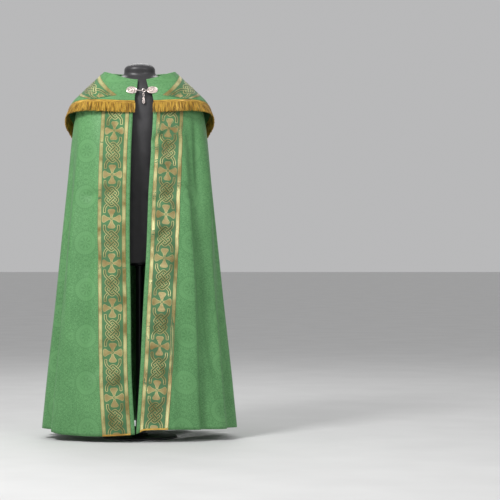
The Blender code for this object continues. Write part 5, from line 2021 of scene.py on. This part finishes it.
@dataclass
class Clasp:
    """The filigree hook and eye that close the cope, and the drop that hangs from the eye."""

    cloths: Cloths
    clasp_z: float = 1.4250
    hook_x: float = -0.0350
    eye_plate_x: float = 0.0545
    eye_x: float = 0.0160
    width: float = 0.045
    height: float = 0.034
    thick: float = 0.0045
    stand: float = 0.0006
    wire: float = 0.0013
    eye_radius: float = 0.0065
    link_wire: float = 0.0010
    link_width: float = 0.0085
    link_length: float = 0.0130
    link_play: float = 0.0004
    loop: float = 0.0030
    drop_width: float = 0.012
    drop_length: float = 0.020
    root_share: float = 0.4
    pierced_share: float = 0.86

    def build(self) -> None:
        """Build the hook half, the eye half, the links and the drop."""
        self.bench = Bench(self.cloths.palette.cast_silver)
        hook_seat, eye_seat = self._seat(self.hook_x), self._seat(self.eye_plate_x)
        left, right = hook_seat.to_translation(), eye_seat.to_translation()
        front = min(self._touch(self.hook_x)[0][1], self._touch(self.eye_plate_x)[0][1]) - 0.003
        self.eye = np.array([self.eye_x, front, self.clasp_z])
        self._hook(hook_seat, np.array(left))
        self._eye(eye_seat, np.array(right))
        self._chain()

    def _touch(self, x: float) -> tuple[Array, Array]:
        """The point and the normal of the hood's outer face where a rosette is sewn on."""
        drape = self.cloths.drape
        phi = np.array(0.0)
        for _ in range(20):
            level = drape.hood_level(phi, np.array(self.clasp_z))
            point = lifted(drape.hood, phi, level, HOOD_CLOTH)
            phi = np.degrees(np.arcsin(np.clip(x / np.hypot(point[0], point[1]), -0.9, 0.9)))
        return point, facing(drape.hood, phi, level)

    def _seat(self, x: float) -> Matrix:
        """The place of a rosette on the hood's face: its width, its height and the way it faces as axes."""
        point, normal = self._touch(x)
        right = np.cross([0.0, 0.0, 1.0], normal)
        right /= np.linalg.norm(right)
        up = np.cross(normal, right)
        base = point + normal * self.stand
        return Matrix(np.column_stack([right, up, normal, base]).tolist() + [[0, 0, 0, 1]])

    def _spots(self, count: int, share: float, height: float, shift: float = 0.0) -> list[Vector]:
        """Places round a rosette at a share of its half axes."""
        turns = [2 * math.pi * (k + shift) / count for k in range(count)]
        wide, high = self.width / 2 * share, self.height / 2 * share
        return [Vector((math.cos(turn) * wide, math.sin(turn) * high, height)) for turn in turns]

    def _rosette(self, seat: Matrix) -> list[Thing]:
        """Build a rosette's pierced plate, rims, petals, beads and boss, and place them.

        Args:
            seat: its place.

        Returns:
            The pieces.
        """
        bench = self.bench
        half, ratio = self.width / 2, self.height / self.width
        plate = bench.start(
            bpy.ops.mesh.primitive_cylinder_add,
            (half * 0.95, half * 0.95 * ratio, 0.0011),
            radius=1,
            depth=1,
            vertices=56,
            location=(0, 0, 0),
        )
        moved(plate, (0, 0, 0.00055))
        made = [plate]
        rims = ((0.945, 0.00120, 0.0016), (0.80, 0.00060, 0.0016), (0.34, 0.00060, 0.0022))
        for share, minor, height in rims:
            made.append(moved(bench.ring(half * share, minor, (1, ratio, 1), 64), (0, 0, height)))
        spots = self._spots(8, 0.565, 0.0021, 0.5)
        petals = [Matrix.Translation(at) @ Matrix.Rotation(math.atan2(at.y, at.x), 4, "Z") for at in spots]
        grains = [Matrix.Translation(at + Vector((0, 0, -0.0004))) for at in spots]
        curls = [Matrix.Translation(at) for at in self._spots(8, 0.70, 0.0017)]
        pearls = [Matrix.Translation(at) for at in self._spots(36, 0.87, 0.0018)]
        made += bench.round_the(bench.ring(0.0030, 0.00055, (1.35, 0.80, 1.2), 20), petals)
        made += bench.round_the(bench.ring(0.0013, 0.00042, (1, 1, 1.2), 12), curls)
        made += bench.round_the(bench.bead(0.00085, 1.0, 8), pearls)
        made += bench.round_the(bench.bead(0.00130, 1.0, 10), grains)
        turns = [k * math.pi / 5 for k in range(10)]
        core = [Matrix.Translation((math.cos(k) * 0.0056, math.sin(k) * 0.0043, 0.0024)) for k in turns]
        made += bench.round_the(bench.bead(0.00095, 1.0, 8), core)
        radius, flat = 0.0044, 0.62
        made.append(moved(bench.bead(radius, flat, 20), (0, 0, self.thick - radius * flat)))
        for piece in made:
            piece.data.transform(seat)
        return made

    def _root(self, seat: Matrix, base: Array) -> Array:
        """Where a wire leaves a rosette, inside its thickness."""
        return base + np.array(seat.col[2][:3]) * self.thick * self.root_share

    def _hook(self, seat: Matrix, base: Array) -> None:
        """Build the rosette with the hook that passes through the eye."""
        root = self._root(seat, base)
        bend = self.eye + np.array([-self.eye_radius, 0, 0])
        clear, reach = 0.0032, 0.0042
        path = [
            root,
            root + (bend - root) * 0.55 + np.array([0, -0.0015, 0]),
            bend + np.array([-0.004, -clear, 0]),
            bend + np.array([0.0, -clear, 0]),
        ]
        for k in range(1, 6):
            turn = math.pi * k / 6
            path.append(bend + np.array([reach * math.sin(turn), -clear * math.cos(turn), 0]))
        path += [bend + np.array([0.0, clear, 0]), bend + np.array([-0.004, clear, 0])]
        hook = self.bench.wire("hook wire", path, self.wire)
        knob = self.bench.bead(0.0018, 1.0, 12)
        moved(knob, path[-1].tolist())
        piece = self.bench.joined("clasp_hook_cast", [*self._rosette(seat), hook, knob])
        dress(piece, ["clasp_hook"])

    def _eye(self, seat: Matrix, base: Array) -> None:
        """Build the rosette with the ring that the hook holds."""
        root = self._root(seat, base)
        rim = self.eye + np.array([self.eye_radius, 0, 0])
        middle = root + (rim - root) * 0.6 + np.array([0, -0.001, 0])
        arm = self.bench.wire("eye arm", [root, middle, rim], self.wire * 1.1)
        ring = self.bench.ring(self.eye_radius, self.wire, sides=40)
        moved(ring, self.eye.tolist(), Matrix.Rotation(math.pi / 2, 4, "X"))
        piece = self.bench.joined("clasp_eye_cast", [*self._rosette(seat), arm, ring])
        dress(piece, ["clasp_eye"])

    def _link(self) -> Thing:
        """A long link, upright in X and Z: a ring whose halves are drawn apart in edit mode."""
        link = self.bench.ring(self.link_width / 2 - self.link_wire, self.link_wire, sides=32)
        link.data.transform(Matrix.Rotation(math.pi / 2, 4, "X"))
        apart = (self.link_length - self.link_width) / 2
        for way in (-1, 1):
            select_only(link)
            bpy.ops.object.mode_set(mode="EDIT")
            bpy.ops.mesh.select_all(action="DESELECT")
            bpy.ops.object.mode_set(mode="OBJECT")
            for vertex in link.data.vertices:
                vertex.select = vertex.co.z * way > 1e-4
            bpy.ops.object.mode_set(mode="EDIT")
            bpy.ops.transform.translate(value=(0, 0, apart * way))
            bpy.ops.object.mode_set(mode="OBJECT")
        return link

    def _chain(self) -> None:
        """Build the links, each turned a quarter from the last, and the drop."""
        carrier = float(self.eye[2]) - self.eye_radius + self.wire
        places = []
        for i in range(3):
            top = carrier + self.link_play + self.link_wire
            middle = top - self.link_length / 2 + self.link_wire
            turn = Matrix.Rotation(math.pi / 2 if i % 2 == 0 else 0.0, 4, "Z")
            places.append(Matrix.Translation((self.eye[0], self.eye[1], middle)) @ turn)
            carrier = middle - self.link_length / 2 + 2 * self.link_wire
        for i, link in enumerate(self.bench.round_the(self._link(), places)):
            made = self.bench.joined(f"drop_link_{i + 1}_cast", [link])
            dress(made, [f"drop_link_{i + 1}"], DROP)
        top = carrier + self.link_play + self.link_wire
        middle = top - self.loop
        ring = self.bench.ring(self.loop, self.link_wire, sides=24)
        upright = Matrix.Rotation(math.pi / 2, 4, "X")
        moved(ring, (self.eye[0], self.eye[1], middle), upright)
        centre = middle - self.loop - self.drop_length / 2 + self.link_wire
        made = [ring]
        for share, minor, depth in ((self.pierced_share, 0.0009, 1.0), (0.50, 0.0006, 1.1)):
            size = (1, self.drop_length / self.drop_width, depth)
            rim = self.bench.ring(self.drop_width / 2 * share, minor, size, 32)
            made.append(moved(rim, (self.eye[0], self.eye[1], centre), upright))
        plate = self.bench.bead(self.drop_width / 2 * self.pierced_share, 0.13, 24)
        plate.data.transform(Matrix.Diagonal((1, self.drop_length / self.drop_width, 1, 1)))
        moved(plate, (self.eye[0], self.eye[1], centre), upright)
        pearl = self.bench.bead(0.0016, 1.0, 12)
        moved(pearl, (self.eye[0], self.eye[1], centre))
        made += [plate, pearl]
        piece = self.bench.joined("drop_pendant_cast", made)
        dress(piece, ["drop_pendant"], DROP)


@dataclass
class DressForm:
    """The glossy torso and its stand."""

    palette: Palette

    def build(self) -> None:
        """Round the torso and finish the stand."""
        source = bpy.data.objects["form_torso"]
        torso = source.copy()
        torso.data = source.data.copy()
        torso.name = torso.data.name = "form_torso_skin"
        bpy.context.scene.collection.objects.link(torso)
        select_only(torso)
        bpy.ops.object.mode_set(mode="EDIT")
        bpy.ops.mesh.select_all(action="SELECT")
        bpy.ops.mesh.remove_doubles(threshold=0.00005)
        flat = math.radians(60)
        bpy.ops.mesh.tris_convert_to_quads(face_threshold=flat, shape_threshold=flat)
        bpy.ops.object.mode_set(mode="OBJECT")
        rounder = torso.modifiers.new("round", "SUBSURF")
        rounder.levels = rounder.render_levels = 2
        apply_modifiers(torso)
        torso.data.materials.clear()
        torso.data.materials.append(self.palette.form)
        torso.data.shade_smooth()
        dress(torso, ["form_torso"])
        for name in ("form_post", "form_base"):
            node = bpy.data.objects[name]
            for slot in node.material_slots:
                slot.material = self.palette.stand


@dataclass
class Studio:
    """The pale floor, the soft lights and the camera."""

    eye_height: float = 0.7747
    distance: float = 8.0
    metres_per_pixel: float = 0.004137
    centre_x: float = 139.7
    image: int = 500
    sensor: float = 36.0
    aim_height: float = 0.85
    floor_size: float = 120.0
    sky: float = 0.52

    def build(self) -> None:
        """Set the floor, the lights and the camera."""
        deselect()
        bpy.ops.mesh.primitive_plane_add(size=self.floor_size)
        floor = bpy.context.object
        floor.name = "floor"
        shader = Shader("studio floor", 0.85)
        speck = shader.noise(3.0, 3.0).outputs["Fac"]
        floor.data.materials.append(
            shader.finish(shader.ramp(speck, [(0.3, (0.66, 0.66, 0.655)), (0.7, (0.70, 0.70, 0.695))]))
        )
        self._light("key", (-1.5, -2.3, 3.1), 0.8, 96.0)
        self._light("fill", (2.0, -3.6, 2.5), 1.2, 26.0)
        self._light("back", (0.0, 2.9, 4.1), 2.2, 52.0)
        world = bpy.data.worlds.new("studio")
        bpy.context.scene.world = world
        world.use_nodes = True
        world.node_tree.nodes["Background"].inputs["Color"].default_value = (0.93, 0.93, 0.94, 1)
        world.node_tree.nodes["Background"].inputs["Strength"].default_value = self.sky
        bpy.context.scene.view_settings.view_transform = "Standard"
        span = self.metres_per_pixel * self.image
        camera = bpy.data.cameras.new("camera")
        camera.sensor_width = self.sensor
        camera.lens = self.sensor * self.distance / span
        camera.shift_x = (self.image / 2 - self.centre_x) / self.image
        holder = bpy.data.objects.new("camera", camera)
        holder.location = (0.0, -self.distance, self.eye_height)
        holder.rotation_euler = (math.pi / 2, 0.0, 0.0)
        bpy.context.scene.collection.objects.link(holder)
        bpy.context.scene.camera = holder

    def _light(self, name: str, place: tuple[float, float, float], size: float, power: float) -> None:
        """Add a soft square light that faces the middle of the cope."""
        lamp = bpy.data.lights.new(name, "AREA")
        lamp.size = size
        lamp.energy = power
        holder = bpy.data.objects.new(name, lamp)
        holder.location = place
        aim = Vector((0, 0, self.aim_height)) - Vector(place)
        holder.rotation_euler = aim.to_track_quat("-Z", "Y").to_euler()
        bpy.context.scene.collection.objects.link(holder)


def main() -> None:
    """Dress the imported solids."""
    logging.basicConfig(level=logging.INFO, format="%(name)s: %(message)s")
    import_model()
    palette = Palette()
    cloths = Cloths(palette)
    CopePanels(cloths).build()
    hood = Hood(cloths)
    hood.build()
    Fringe(hood).build()
    Clasp(cloths).build()
    DressForm(palette).build()
    Studio().build()


if __name__ == "__main__":
    main()
